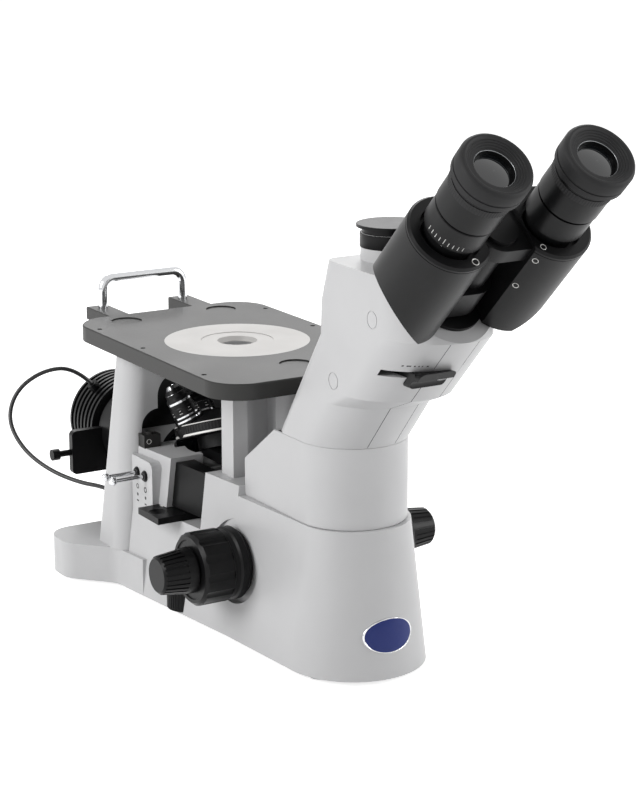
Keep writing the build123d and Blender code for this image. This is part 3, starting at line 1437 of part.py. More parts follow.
# Lamp plate: crossbar that the heat sink is screwed to
with BuildPart() as lamp_plate:
    with BuildSketch(Plane.XZ.offset(-(axis_y + lamp_plate_y))):
        with Locations((0, (lamp_plate_low + lamp_plate_high) / 2)):
            RectangleRounded(2 * lamp_plate_half, lamp_plate_high - lamp_plate_low, lamp_plate_corner)
        with Locations((0, light_height)):
            Circle(lamp_radius)
            Circle(plate_bore, mode=Mode.SUBTRACT)
    extrude(amount=-lamp_plate_depth)
    with Locations(Plane(origin=(-lamp_plate_half - overshoot, axis_y + lamp_plate_y + lamp_plate_depth / 2,
                                 clamp_screw_z), z_dir=(1, 0, 0))):
        Cylinder(clamp_screw_radius + running_clearance, clamp_screw_depth, align=standing,
                 mode=Mode.SUBTRACT)
lamp_plate.part.label = "lamp_plate"
export_step(lamp_plate.part, "parts/lamp_plate.step")

# Thumb screw that clamps the lamp plate
with BuildPart() as lamp_clamp_screw:
    with Locations(Plane(origin=(clamp_screw_x, axis_y + lamp_plate_y + lamp_plate_depth / 2,
                                 clamp_screw_z), z_dir=(1, 0, 0))):
        Cylinder(clamp_head_radius, clamp_head_length, align=standing)
        Cylinder(clamp_neck_radius, clamp_neck_length, align=standing)
        Cylinder(clamp_screw_radius, clamp_screw_length, align=standing)
lamp_clamp_screw.part.label = "lamp_clamp_screw"
export_step(lamp_clamp_screw.part, "parts/lamp_clamp_screw.step")

# Heat sink: turned core with seven discs, bored for the cable gland
sink_start = lamp_plate_y + lamp_plate_depth
sink_plane = Plane(origin=(0, axis_y + sink_gland_y, light_height), x_dir=(0, 1, 0),
                   z_dir=(-0.622, 0, 0.783))
with BuildPart() as heat_sink:
    with Locations(Plane(origin=(0, axis_y + sink_start, light_height), z_dir=(0, 1, 0))):
        Cylinder(sink_core, sink_end - sink_start, align=standing)
    for index in range(fin_count):
        fin_y = sink_end - index * fin_pitch
        with Locations(Plane(origin=(0, axis_y + fin_y, light_height), z_dir=(0, -1, 0))):
            Cylinder(sink_radius, fin_thickness, align=standing)
    with Locations(sink_plane.offset(sink_core - gland_root)):
        Cylinder(gland_radius + fit_clearance, sink_radius, align=standing, mode=Mode.SUBTRACT)
heat_sink.part.label = "heat_sink"
export_step(heat_sink.part, "parts/heat_sink.step")

# Bulb on the front face of the heat sink
with BuildPart() as bulb:
    with Locations(Plane(origin=(0, axis_y + sink_start, light_height), z_dir=(0, -1, 0))):
        Cylinder(bulb_base_radius, bulb_base_length, align=standing)
        Cylinder(bulb_radius, bulb_reach, align=standing)
    with Locations((0, axis_y + sink_start - bulb_reach, light_height)):
        Sphere(bulb_radius)
bulb.part.label = "bulb"
export_step(bulb.part, "parts/bulb.step")

# Cable glands on the heat sink and in the rear wall of the column
with BuildPart() as cable_glands:
    with Locations(sink_plane.offset(sink_core - gland_root)):
        Cylinder(gland_radius, gland_tip - sink_core + gland_root, align=standing)
    with Locations(sink_plane.offset(gland_tip - gland_socket)):
        Cylinder(gland_bore, gland_socket, align=standing, mode=Mode.SUBTRACT)
    with Locations(Plane(origin=(column_gland_x, axis_y + column_gland_y, column_gland_z),
                         z_dir=(0, -1, 0))):
        Cylinder(gland_radius, gland_length, align=standing)
        Cylinder(gland_bore, gland_socket, align=standing, mode=Mode.SUBTRACT)
cable_glands.part.label = "cable_glands"
export_step(cable_glands.part, "parts/cable_glands.step")

# Power inlet in the rear of the foot
with BuildPart() as power_inlet:
    with Locations((inlet_x, axis_y + foot_rear_y - panel_gap, inlet_z)):
        Box(inlet_width, inlet_depth, inlet_height, align=(Align.CENTER, Align.MAX, Align.CENTER))
    with Locations((inlet_x, axis_y + foot_rear_y, inlet_z)):
        Box(inlet_width - 2 * inlet_wall, 2 * (inlet_depth - inlet_floor), inlet_height - 2 * inlet_wall,
            mode=Mode.SUBTRACT)
    with Locations([(inlet_x + pin_x, axis_y + foot_rear_y - inlet_depth, inlet_z) for pin_x in inlet_pins]):
        Box(pin_width, pin_length, pin_height, align=(Align.CENTER, Align.MIN, Align.CENTER))
power_inlet.part.label = "power_inlet"
export_step(power_inlet.part, "parts/power_inlet.step")

# Small latch bracket on the column beside the window
with BuildPart() as window_latch:
    with Locations((latch_x, axis_y + body_rear_y, block_top)):
        Box(latch_width, latch_depth, latch_depth, align=(Align.CENTER, Align.MAX, Align.MIN))
    with Locations((latch_x, axis_y + body_rear_y - latch_depth / 2, block_top + latch_depth)):
        Cylinder(latch_head_radius, latch_head_height, align=standing)
window_latch.part.label = "window_latch"
export_step(window_latch.part, "parts/window_latch.step")

# Lamp cable: straight runs joined by tangent arcs, from the heat sink to the column
cable_points = [(-26.7, 294.0, 128.5), (-42.0, 296.0, 144.0), (-66.0, 303.0, 143.0), (-88.0, 309.0, 128.0),
                (-98.0, 306.0, 105.0), (-94.0, 288.0, 84.0), (-82.0, 264.0, 70.0), (-68.0, 236.0, 64.0),
                (-56.0, 212.0, 64.5), (-56.0, 195.0, 64.5)]
cable_radii = []
for before, corner, after in zip(cable_points, cable_points[1:], cable_points[2:]):
    arriving = Vector(corner) - Vector(before)
    leaving = Vector(after) - Vector(corner)
    turn = math.radians(arriving.get_angle(leaving))
    cable_radii.append(0.45 * min(arriving.length, leaving.length) / math.tan(turn / 2))
print("cable radii", [round(r, 1) for r in cable_radii])
with BuildPart() as lamp_cable:
    with BuildLine() as cable_route:
        FilletPolyline(*cable_points, radius=cable_radii)
    with BuildSketch(Plane(origin=cable_points[0], z_dir=Vector(cable_points[1]) - Vector(cable_points[0]))):
        Circle(cable_diameter / 2)
    sweep(path=cable_route.wires()[0])
lamp_cable.part.label = "lamp_cable"
export_step(lamp_cable.part, "parts/lamp_cable.step")
cable_length = cable_route.wires()[0].length
print("cable length", round(cable_length, 1), "volume ratio",
      round(lamp_cable.part.volume / (math.pi * cable_diameter ** 2 / 4 * cable_length), 4))
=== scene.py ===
import math

import bpy
import numpy as np
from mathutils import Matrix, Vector


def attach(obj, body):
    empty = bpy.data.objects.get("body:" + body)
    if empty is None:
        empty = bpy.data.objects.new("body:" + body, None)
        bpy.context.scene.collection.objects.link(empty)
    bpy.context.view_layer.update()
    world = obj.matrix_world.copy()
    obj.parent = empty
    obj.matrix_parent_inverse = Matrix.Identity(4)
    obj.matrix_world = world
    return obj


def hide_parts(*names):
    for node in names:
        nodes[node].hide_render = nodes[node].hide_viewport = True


# Inverted microscope: a white cast body with the objectives under a flat black stage,
# an inclined binocular head in front and a finned lamp behind the column.
# Metres, +Z up, the user sits at -Y; the origin is on the table under the middle.
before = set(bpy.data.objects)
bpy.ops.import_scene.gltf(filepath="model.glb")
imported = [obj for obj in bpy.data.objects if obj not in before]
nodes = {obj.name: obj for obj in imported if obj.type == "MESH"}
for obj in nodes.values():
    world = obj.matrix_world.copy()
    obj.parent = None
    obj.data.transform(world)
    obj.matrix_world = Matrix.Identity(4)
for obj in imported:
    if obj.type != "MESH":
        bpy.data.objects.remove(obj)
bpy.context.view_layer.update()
mm = 0.001
axis_y = 91 * mm
scene = bpy.context.scene

# Camera, at the photograph's angle
camera_data = bpy.data.cameras.new("camera")
camera_data.lens = 102.2
camera = bpy.data.objects.new("camera", camera_data)
camera.location = (-0.8072, -1.3740, 0.5902)
camera.rotation_euler = Vector((0.499, 0.829, -0.2514)).to_track_quat("-Z", "Y").to_euler()
scene.collection.objects.link(camera)
scene.camera = camera


# White castings: base, column, stage support, neck, head and port tube are cast aluminium in white powder
# enamel. It shows a fine even orange peel about 0.7 mm across and a soft satin sheen, and is a little
# greyer where it was sprayed thinner.
def linear(colour):
    """An sRGB hex colour as linear red, green, blue and alpha.

    A dark share c becomes c over 12.92, and any other one c plus 0.055, over 1.055, to the power 2.4.
    """
    parts = [int(colour[i:i + 2], 16) / 255 for i in (1, 3, 5)]
    return tuple(c / 12.92 if c <= 0.04045 else ((c + 0.055) / 1.055) ** 2.4 for c in parts) + (1.0,)


def add(tree, kind, sockets=None, links=None, **settings):
    """Adds one node, gives it its settings and socket values, and links other nodes' outputs into it."""
    made = tree.nodes.new(kind)
    for name, value in settings.items():
        setattr(made, name, value)
    for name, value in (sockets or {}).items():
        made.inputs[name].default_value = value
    for name, source in (links or {}).items():
        tree.links.new(source, made.inputs[name])
    return made


def finish_of(name, colour, **values):
    """A new material with its Principled shader: returns the material, its tree and the shader."""
    made = bpy.data.materials.new(name)
    made.use_nodes = True
    made.diffuse_color = linear(colour)
    shader = made.node_tree.nodes["Principled BSDF"]
    shader.inputs["Base Color"].default_value = linear(colour)
    for socket, value in values.items():
        shader.inputs[socket.replace("_", " ")].default_value = value
    return made, made.node_tree, shader


broad_cells = 60
ramp_ends = (0.35, 0.65)


def grain(tree, shader, size, depth, detail=2.0, colours=None, stretch=None, wear=None):
    """Noise on object coordinates with cells size metres across gives a bump depth metres deep.

    The same noise, broad_cells times as wide, runs between two colours and between two values of roughness.
    """
    source = add(tree, "ShaderNodeTexCoord").outputs["Object"]
    if stretch:
        source = add(tree, "ShaderNodeMapping", {"Scale": stretch}, {"Vector": source}).outputs["Vector"]
    noise = add(tree, "ShaderNodeTexNoise", {"Scale": 1 / size, "Detail": detail}, {"Vector": source})
    bump = add(tree, "ShaderNodeBump", {"Strength": 1.0, "Distance": depth}, {"Height": noise.outputs["Fac"]})
    tree.links.new(bump.outputs["Normal"], shader.inputs["Normal"])
    broad = add(tree, "ShaderNodeTexNoise", {"Scale": 1 / (size * broad_cells), "Detail": 3.0},
                {"Vector": source})
    if colours:
        ramp = add(tree, "ShaderNodeValToRGB", links={"Fac": broad.outputs["Fac"]})
        for element, position, colour in zip(ramp.color_ramp.elements, ramp_ends, colours):
            element.position = position
            element.color = linear(colour)
        tree.links.new(ramp.outputs["Color"], shader.inputs["Base Color"])
    if wear:
        gloss = add(tree, "ShaderNodeMapRange", {"To Min": wear[0], "To Max": wear[1]},
                    {"Value": broad.outputs["Fac"]})
        tree.links.new(gloss.outputs["Result"], shader.inputs["Roughness"])


def dress(material, *names):
    """Gives the CAD nodes of these names one material on their whole surface."""
    for name in names:
        mesh = nodes[name].data
        mesh.materials.clear()
        mesh.materials.append(material)


white_enamel, tree, shader = finish_of("white_powder_enamel", "#c8c8c9", Roughness=0.4, Coat_Weight=0.1,
                                       Coat_Roughness=0.25)
grain(tree, shader, 0.0007, 0.00003, 3.0, ("#c7c7c8", "#cacacb"), wear=(0.38, 0.42))
dress(white_enamel, "base_casting", "rear_column", "stage_support", "front_cover", "head_housing",
      "head_front_cover", "trinocular_tube")

# Black stage enamel: fine wrinkle, dull, slightly lighter where hands and dishes rub it
stage_enamel, tree, shader = finish_of("black_stage_enamel", "#2c2b2a", Roughness=0.42,
                                       Specular_IOR_Level=0.3)
grain(tree, shader, 0.0008, 0.00005, 3.0, ("#282726", "#30302f"), wear=(0.36, 0.5))
dress(stage_enamel, "stage_plate", "handle_blocks", "window_latch")

# Painted sheet steel under the base, semi-gloss black
sheet_enamel, tree, shader = finish_of("black_sheet_enamel", "#161617", Roughness=0.45)
grain(tree, shader, 0.001, 0.00002, 2.0, ("#141415", "#19191a"))
dress(sheet_enamel, "bottom_plate")

# Stage insert: turned aluminium, blasted and clear anodised, which leaves an even pale satin surface
insert_metal, tree, shader = finish_of("turned_aluminium", "#aeacaa", Metallic=0.35, Roughness=0.5)
grain(tree, shader, 0.0005, 0.00001, 2.0, ("#aba9a7", "#b2b0ae"))
dress(insert_metal, "stage_insert")

# Bright chrome plate: almost a mirror, a faint waviness from polishing
chrome, tree, shader = finish_of("polished_chrome", "#d6d7d9", Metallic=1.0, Roughness=0.12)
grain(tree, shader, 0.004, 0.000002, wear=(0.08, 0.16))
dress(chrome, "stage_handle", "field_diaphragm_lever", "aperture_diaphragm_lever")

# Matte black anodised aluminium of the tubes, the wings and the lamp: satin with a fine blasted grain
black_anodised, tree, shader = finish_of("black_anodised_aluminium", "#111112", Roughness=0.36,
                                         Specular_IOR_Level=0.2)
grain(tree, shader, 0.0005, 0.000015, 2.0, ("#0f0f10", "#141415"), wear=(0.32, 0.42))
dress(black_anodised, "left_wing", "right_wing", "left_eyepiece", "right_eyepiece", "diopter_ring",
      "pivot_tube", "turret_ring", "objective_front", "objective_right", "objective_rear", "objective_left",
      "nosepiece_carriage", "lamp_housing", "lamp_plate", "heat_sink")

# Soft moulded rubber of the eyecups and feet: dull, faintly dusty
black_rubber, tree, shader = finish_of("moulded_rubber", "#1b1b1c", Roughness=0.62, Specular_IOR_Level=0.3)
grain(tree, shader, 0.0006, 0.00002, 3.0, ("#19191a", "#1f1f20"))
dress(black_rubber, "rubber_feet")

# Coated optical glass: dark and glossy, with a faint blue tint of the coating
coated_glass, tree, shader = finish_of("coated_glass", "#0b0e12", Roughness=0.04, Coat_Weight=1.0,
                                       Coat_Roughness=0.02)
grain(tree, shader, 0.004, 0.000001, 2.0, ("#090b10", "#0d1114"))
dress(coated_glass, "left_eye_lens", "right_eye_lens", "head_prism", "tube_lens", "beam_splitter",
      "selector_prism", "collector_lens", "bulb", "fold_mirrors")

# Moulded black plastic of the knobs, lever, wheel and cap: fine spark-eroded texture
black_plastic, tree, shader = finish_of("moulded_black_plastic", "#0b0b0c", Roughness=0.34,
                                        Specular_IOR_Level=0.16)
grain(tree, shader, 0.0004, 0.000015, 2.0, ("#0a0a0b", "#0e0e0f"), wear=(0.3, 0.4))
dress(black_plastic, "coarse_knob_left", "coarse_knob_right", "fine_knob_left", "fine_knob_right",
      "tension_ring", "brightness_wheel", "selector_lever", "filter_tray", "focus_guide", "dust_cap",
      "cable_glands", "power_inlet", "lamp_clamp_screw")

# Ground steel of the shafts: straight grinding lines along X
steel, tree, shader = finish_of("ground_steel", "#a4a6a8", Metallic=1.0, Roughness=0.3)
grain(tree, shader, 0.0003, 0.000004, stretch=(1, 20, 20))
dress(steel, "coarse_shaft", "fine_shaft")

# Turned brass of the bushes and the rack
brass, tree, shader = finish_of("turned_brass", "#c9a45c", Metallic=1.0, Roughness=0.3)
grain(tree, shader, 0.0003, 0.000005)
dress(brass, "focus_rack", "shaft_bushes")

# Seams of the castings: painted shade. A thin dark strip lies in the seams between ridge, neck and head,
# level with the enamel, and stands in for the shadow in the gap, so that only a dull thin line of it is seen.
seam_shade_paint, tree, shader = finish_of("painted_seam_shade", "#2e2e30", Roughness=0.8)
grain(tree, shader, 0.0004, 0.00001)

neck_half = 40 * mm
neck_front = axis_y - 203.5 * mm
waist_y = axis_y - 130 * mm
neck_seam_z = 109 * mm
head_seam_z = 168 * mm
seam_gap = 0.45 * mm
seam_depth = 3 * mm
seam_width = 0.5 * mm
seam_lift = 0.1 * mm


sharp_angle = math.radians(35)


def piece(name, points, faces, material, body, slot, smooth=True, stands_for=()):
    """A mesh piece of the object: it rides on a body, and edges over sharp_angle stay sharp."""
    mesh = bpy.data.meshes.new(name)
    mesh.from_pydata(np.asarray(points, float).tolist(), [], [list(map(int, face)) for face in faces])
    mesh.validate()
    mesh.polygons.foreach_set("use_smooth", [smooth] * len(mesh.polygons))
    mesh.set_sharp_from_angle(angle=sharp_angle)
    mesh.materials.append(material)
    made = bpy.data.objects.new(name, mesh)
    scene.collection.objects.link(made)
    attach(made, body)
    if stands_for:
        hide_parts(*stands_for)
    return made


def neck_outline(inset):
    """Points of the neck's level section: a half circle in front, straight sides back to the waist."""
    radius = neck_half - inset
    centre = neck_front + neck_half
    turn = np.linspace(math.pi, 2 * math.pi, 49)
    arc = np.c_[radius * np.cos(turn), centre + radius * np.sin(turn)]
    return np.vstack([[-radius, waist_y], arc, [radius, waist_y]])


def seam_strip(height, thickness):
    """A dark strip of painted seam shade round the neck: an outer and an inner outline, each at two heights,
    joined by faces.
    """
    low, high = height - thickness / 2, height + thickness / 2
    outer, inner = neck_outline(seam_gap), neck_outline(seam_depth)
    rows = [np.c_[outline, np.full(len(outline), level)]
            for outline, level in ((outer, low), (outer, high), (inner, high), (inner, low))]
    count = len(rows[0])
    faces = [[row * count + i, row * count + i + 1, (row + 1) % 4 * count + i + 1, (row + 1) % 4 * count + i]
             for row in range(4) for i in range(count - 1)]
    faces += [[row * count for row in (0, 1, 2, 3)], [row * count + count - 1 for row in (3, 2, 1, 0)]]
    return np.vstack(rows), faces


# A dark strip of painted shade in each of the two seams round the neck
for name, height in (("head", head_seam_z), ("neck", neck_seam_z)):
    points, faces = seam_strip(height + seam_lift, seam_width)
    piece(name + "_seam_shade_strip", points, faces, seam_shade_paint, "base_body", "black_rubber")

# Head: its front cover is a separate casting let into the housing, with the same dark strips of painted shade
# in the two upright seams. Above the selector lever stand small marks in black ink, screen-printed on the
# enamel.
dark_ink, tree, shader = finish_of("black_printed_ink", "#161617", Roughness=0.5)
grain(tree, shader, 0.0002, 0.000002)
head_line = np.array([(-203.5, 0), (-233, 35), (-257.5, 45), (-303.5, 93)]) * mm
plate_out = 0.03 * mm
plate_deep = 0.6 * mm
cover_half = 11.15 * mm
cover_seam_half = 0.22 * mm


def on_head(across, height, lift):
    """Point on the head's front: a half circle as wide as the neck, behind the front line and moved out."""
    front = np.interp(height - head_seam_z, head_line[:, 1], head_line[:, 0]) + axis_y
    radius = neck_half + lift
    return (across, front + neck_half - math.sqrt(radius ** 2 - across ** 2), height)


def joined(parts):
    """Several (points, faces) pairs as one pair."""
    points, faces, offset = [], [], 0
    for some_points, some_faces in parts:
        points.extend(np.asarray(some_points))
        faces.extend([[corner + offset for corner in face] for face in some_faces])
        offset += len(some_points)
    return points, faces


def head_plate(low, high, heights):
    """A thin strip on the head from x low to x high through the heights: a little proud of it and let in."""
    points = []
    for height in heights:
        points += [on_head(low, height, plate_out), on_head(high, height, plate_out),
                   on_head(high, height, -plate_deep), on_head(low, height, -plate_deep)]
    faces = [[row * 4 + k, row * 4 + (k + 1) % 4, row * 4 + 4 + (k + 1) % 4, row * 4 + 4 + k]
             for row in range(len(heights) - 1) for k in range(4)]
    last = 4 * len(heights) - 4
    return points, faces + [[3, 2, 1, 0], [last, last + 1, last + 2, last + 3]]


below_lever = (0.8, 10, 20, 34.9, 35.1, 44.9, 45.1, 55, 63.5)
above_lever = (73, 80, 86, 92.5)
seams = [head_plate(side * cover_half - cover_seam_half, side * cover_half + cover_seam_half,
                    [head_seam_z + rise * mm for rise in rises])
         for rises in (below_lever, above_lever) for side in (-1, 1)]
# The two upright seams of the head cover get the same dark strips of painted shade
piece("head_cover_seams", *joined(seams), seam_shade_paint, "base_body", "black_rubber", smooth=False)
mark_heights = [head_seam_z + 75 * mm, head_seam_z + 76 * mm]
mark_places = ((-29.5, 1.0), (-26.6, 2.2), (-23.6, 0.9), (-20.4, 2.6), (-16.4, 1.2))
marks = [head_plate((middle - width / 2) * mm, (middle + width / 2) * mm, mark_heights)
         for middle, width in mark_places]
piece("lever_marks", *joined(marks), dark_ink, "base_body", "black_plastic", smooth=False)

# Painted shade inside the column: a bent black sheet stands inside the column, behind the objectives, and
# darkens its inside in place of the shadow there. It follows the column's walls, which lean inwards by the
# column's draft.
column_half, column_rear, column_low, column_rise, column_draft = 78, 97, 33, 158, 13
shade_sheet_gap = 5.4
shade_sheet_front = 56.0
shade_sheet_corner = 9
shade_sheet_thickness = 0.8
shade_sheet_rows = []
for height in (119.6, 179.0):
    lean = column_draft * (height - column_low) / column_rise
    half = column_half - lean - shade_sheet_gap
    rear = column_rear - lean - shade_sheet_gap
    for inset in (0.0, shade_sheet_thickness):
        shade_sheet_rows.append([(x * mm, axis_y + y * mm, height * mm) for x, y in (
            (-half + inset, shade_sheet_front), (-half + inset, rear - shade_sheet_corner),
            (-half + shade_sheet_corner, rear - inset), (half - shade_sheet_corner, rear - inset),
            (half - inset, rear - shade_sheet_corner), (half - inset, shade_sheet_front))])
count = len(shade_sheet_rows[0])
order = (0, 1, 3, 2)
faces = [[order[row] * count + i, order[row] * count + i + 1, order[(row + 1) % 4] * count + i + 1,
          order[(row + 1) % 4] * count + i] for row in range(4) for i in range(count - 1)]
faces += [[row * count for row in (2, 3, 1, 0)], [row * count + count - 1 for row in (0, 1, 3, 2)]]
piece("column_shade_sheet", np.vstack(shade_sheet_rows), faces, sheet_enamel, "base_body", "black_enamel", smooth=False)

# Collar of the camera port: a black plastic ring pushed on the tube, right under the dust cap
port_mouth = (0, axis_y - 213 * mm, 319 * mm)


def axes_of(direction):
    """Three unit vectors: two across a direction and the direction itself, right-handed."""
    along = np.array(direction, float)
    along /= np.linalg.norm(along)
    start = np.array((1.0, 0, 0)) if abs(along[0]) < 0.9 else np.array((0, 0, 1.0))
    across = start - along * start.dot(along)
    across /= np.linalg.norm(across)
    return across, np.cross(along, across), along


def turned(profile, origin, direction, count=96):
    """A closed profile of (along, radius) in mm turned about an axis.

    A point is the origin plus its along in the direction, plus its radius times cosine and sine of the turn
    in the two directions across. The faces are turned round where the profile runs the other way.
    """
    across, up, along = axes_of(direction)
    profile = np.array(profile, float) * mm
    angle = np.linspace(0, 2 * math.pi, count, endpoint=False)[:, None, None]
    ring = np.cos(angle) * across + np.sin(angle) * up
    points = np.array(origin) + profile[None, :, :1] * along + profile[None, :, 1:] * ring
    rows = len(profile)
    step, place = np.meshgrid(np.arange(count), np.arange(rows), indexing="ij")
    after, beside = (step + 1) % count, (place + 1) % rows
    faces = np.stack([step * rows + place, step * rows + beside, after * rows + beside, after * rows + place],
                     -1).reshape(-1, 4)
    middle = profile.mean(0)
    area = sum(a[0] * b[1] - b[0] * a[1] for a, b in zip(profile - middle, np.roll(profile - middle, -1, 0)))
    return points.reshape(-1, 3), faces if area > 0 else faces[:, ::-1]


port_ring = [(-9.5, 20.2), (-9.5, 20.7), (-9.0, 21.0), (-0.1, 21.0), (-0.1, 20.2)]
piece("port_collar", *turned(port_ring, port_mouth, (0, 0, 1)), black_plastic, "base_body", "black_plastic")

# Badge: a plain domed oval of deep blue vitreous enamel, glossy, in a chrome rim. It is bent to the
# round front of the base and let into it a little.
blue_enamel, tree, shader = finish_of("dark_blue_enamel", "#1a2a6e", Roughness=0.2, Specular_IOR_Level=0.25)
grain(tree, shader, 0.003, 0.000004, 2.0, ("#182766", "#1d2f78"))
badge_width = 41 * mm
badge_height = 25 * mm
badge_z = 35 * mm
badge_steps = 72
badge_sunk = -0.2 * mm
face_start, face_share = 0.001, 0.93
face_edge, face_dome = 0.5, 0.7
rim_share, rim_middle = 0.925, 0.96
rim_top, rim_fall = 0.9, 400
front_bottom, front_top, casting_low, casting_high = 52.5 * mm, 40 * mm, 4 * mm, 116.5 * mm
front_centre = np.array((0.0, axis_y - 166.5 * mm))


def on_base_front(across, height, lift):
    """Points on the base's front: the radius falls evenly with height, and across runs round the arc."""
    radius = front_bottom + (front_top - front_bottom) * (height - casting_low) / (casting_high - casting_low)
    turn = -math.pi / 2 + across / radius
    return np.stack([front_centre[0] + (radius + lift) * np.cos(turn),
                     front_centre[1] + (radius + lift) * np.sin(turn), height], -1)


def oval_shell(shares, lifts, closed):
    """Rings on an oval, each at a share of its size and at a lift.

    A point is half the width times cosine across and half the height times sine up, by its share. Each ring
    is joined to the next, a closed shell's last one to its first one too, and an open shell gets a face over
    each end.
    """
    turn = np.linspace(0, 2 * math.pi, badge_steps, endpoint=False)
    size = np.array(shares)[:, None] / 2
    points = on_base_front(size * badge_width * np.cos(turn), badge_z + size * badge_height * np.sin(turn),
                           np.array(lifts)[:, None])
    rows = len(shares)
    ring, place = np.meshgrid(np.arange(rows if closed else rows - 1), np.arange(badge_steps), indexing="ij")
    after, beside = (ring + 1) % rows * badge_steps, (place + 1) % badge_steps
    start = ring * badge_steps
    corners = np.stack([start + place, after + place, after + beside, start + beside], -1)
    faces = corners.reshape(-1, 4).tolist()
    if not closed:
        faces.append(list(range(badge_steps)))
        faces.append(list(range(rows * badge_steps - 1, (rows - 1) * badge_steps - 1, -1)))
    return points.reshape(-1, 3), faces


face_shares = np.linspace(face_start, face_share, 10)
face_lifts = (face_edge + face_dome * (1 - face_shares ** 2)) * mm
points, faces = oval_shell(np.append(face_shares, face_share), np.append(face_lifts, badge_sunk), False)
piece("badge_face", points, faces, blue_enamel, "base_body", "black_enamel")
rim_shares = np.linspace(rim_share, 1.0, 7)
rim_lifts = (rim_top - rim_fall * (rim_shares - rim_middle) ** 2) * mm
points, faces = oval_shell(np.append(rim_shares, (1.0, rim_share)),
                           np.append(rim_lifts, (badge_sunk, badge_sunk)), True)
piece("badge_rim", points, faces, chrome, "base_body", "chrome")

# Eyepieces: the eyecup is soft moulded rubber with a beaded rim and four steps inside, slipped over the
# barrel. A thin steel ring holds the eye lens, and a rubber band with 72 flats gives the barrel its grip.
tube_axis = np.array((0, -math.sqrt(0.5), math.sqrt(0.5)))
eye_half, eye_y, eye_z = 0.038, axis_y - 0.384, 0.387
eye_top = {"left": np.array((-eye_half, eye_y, eye_z)), "right": np.array((eye_half, eye_y, eye_z))}
cup_outside = [(-12, 19.6), (-12, 23.0), (-10.9, 24.1), (-7.2, 24.2), (-6.9, 23.6), (-6.1, 23.6),
               (-5.8, 24.2), (1.4, 24.2), (2.9, 23.5), (3.8, 22.2), (3.7, 21.0)]
step_down, step_in = 0.75, 1.5
cup_steps = [(along - step_down * step, radius - step_in * step)
             for step in range(4) for along, radius in ((3.2, 20.4), (3.0, 19.2))]
cup_floor = [(0.2, 14.4), (-0.6, 13.7), (-1.5, 13.7), (-1.5, 19.6)]
band = [(-15.5, 20.6), (-15.5, 21.5), (-20.5, 21.5), (-20.5, 20.6)]
band_points = 144
band_depth = 0.28 * mm


def round_section(along, radius, thickness, steps=10):
    """Profile of a thin ring: a circle of the given thickness round (along, radius), in mm."""
    angle = np.linspace(0, 2 * math.pi, steps, endpoint=False)
    return np.c_[along + thickness / 2 * np.cos(angle), radius + thickness / 2 * np.sin(angle)]


for side, origin in eye_top.items():
    body = side + "_wing_body"
    points, faces = turned(cup_outside + cup_steps + cup_floor, origin, tube_axis, 128)
    piece(side + "_rubber_eyecup", points, faces, black_rubber, body, "black_rubber",
          stands_for=[side + "_eyecup"])
    points, faces = turned(round_section(-0.9, 13.7, 0.4), origin, tube_axis)
    piece(side + "_lens_retainer", points, faces, steel, body, "steel")
    # Every second row of the band's points is pressed in, which leaves the flats
    points, faces = turned(band, origin, tube_axis, band_points)
    odd = (np.arange(band_points) % 2 == 1)[:, None]
    lift = np.where(odd, -band_depth, 0.0).repeat(len(band), 1).reshape(-1)
    along = axes_of(tube_axis)[2]
    offset = points - origin
    radial = offset - np.outer(offset @ along, along)
    points = points + radial / np.linalg.norm(radial, axis=1)[:, None] * lift[:, None]
    piece(side + "_barrel_knurl", points, faces, black_rubber, body, "black_rubber", smooth=False)

# Diopter scale: white ticks screen-printed on the turning ring, a longer one for zero, and the index dot
# on the fixed barrel beside them. The ink is flat and a little duller than the metal round it.
white_ink, tree, shader = finish_of("white_printed_ink", "#d8d8d6", Roughness=0.5)
grain(tree, shader, 0.0002, 0.000002)
facing = math.radians(219)
tick_turn = math.radians(9)
ring_radius = 20.5
tick_width = 0.45
dot_reach = 0.0176
mark_foot = 0.05
dot = [(-60.3, 0.01), (-60.3, 0.5), (-59.6, 0.5), (-59.6, 0.01)]


def curved_mark(radius, angle, along, width, length, origin, direction, height=0.04):
    """A thin plate on a cylinder, in mm: width round it and length along it, centred at an angle.

    Its points stand at four turns, at both ends, on the radius plus the height and a little inside.
    """
    across, up, axis = axes_of(direction)
    turns = angle + np.array((-1, -0.33, 0.33, 1)) * width / 2 / radius
    ring = np.cos(turns)[:, None] * across + np.sin(turns)[:, None] * up
    level = np.array((radius + height, radius - mark_foot))[:, None, None, None]
    end = np.array((along - length / 2, along + length / 2))[:, None, None]
    points = np.array(origin) + (end * axis + level * ring) * mm
    faces = [[0, 4, 12, 8], [3, 11, 15, 7]]
    for i in range(3):
        faces += [[i, i + 1, i + 5, i + 4], [i + 8, i + 12, i + 13, i + 9], [i, i + 8, i + 9, i + 1],
                  [i + 4, i + 5, i + 13, i + 12]]
    return points.reshape(-1, 3), faces


ticks = [curved_mark(ring_radius, facing + tick_turn * step, -54.0 if step else -53.4, tick_width,
                     3.2 if step else 4.6, eye_top["left"], tube_axis) for step in range(-4, 5)]
piece("diopter_ticks", *joined(ticks), white_ink, "diopter_body", "light_aluminium", smooth=False)
dot_place = eye_top["left"] + dot_reach * (math.cos(facing) * np.array((1.0, 0, 0))
                                           + math.sin(facing) * np.cross(tube_axis, (1, 0, 0)))
piece("diopter_index", *turned(dot, dot_place, tube_axis, 24), white_ink, "left_wing_body", "light_aluminium")

# Set screws of the wings, the window latch and the casting: nickel-plated steel, sunk in a countersink.
# The plating shows as a pale satin ring, and the hexagon socket in it looks black.
bright_nickel, tree, shader = finish_of("satin_nickel", "#e4e3e0", Metallic=0.3, Roughness=0.42)
grain(tree, shader, 0.0004, 0.000003)


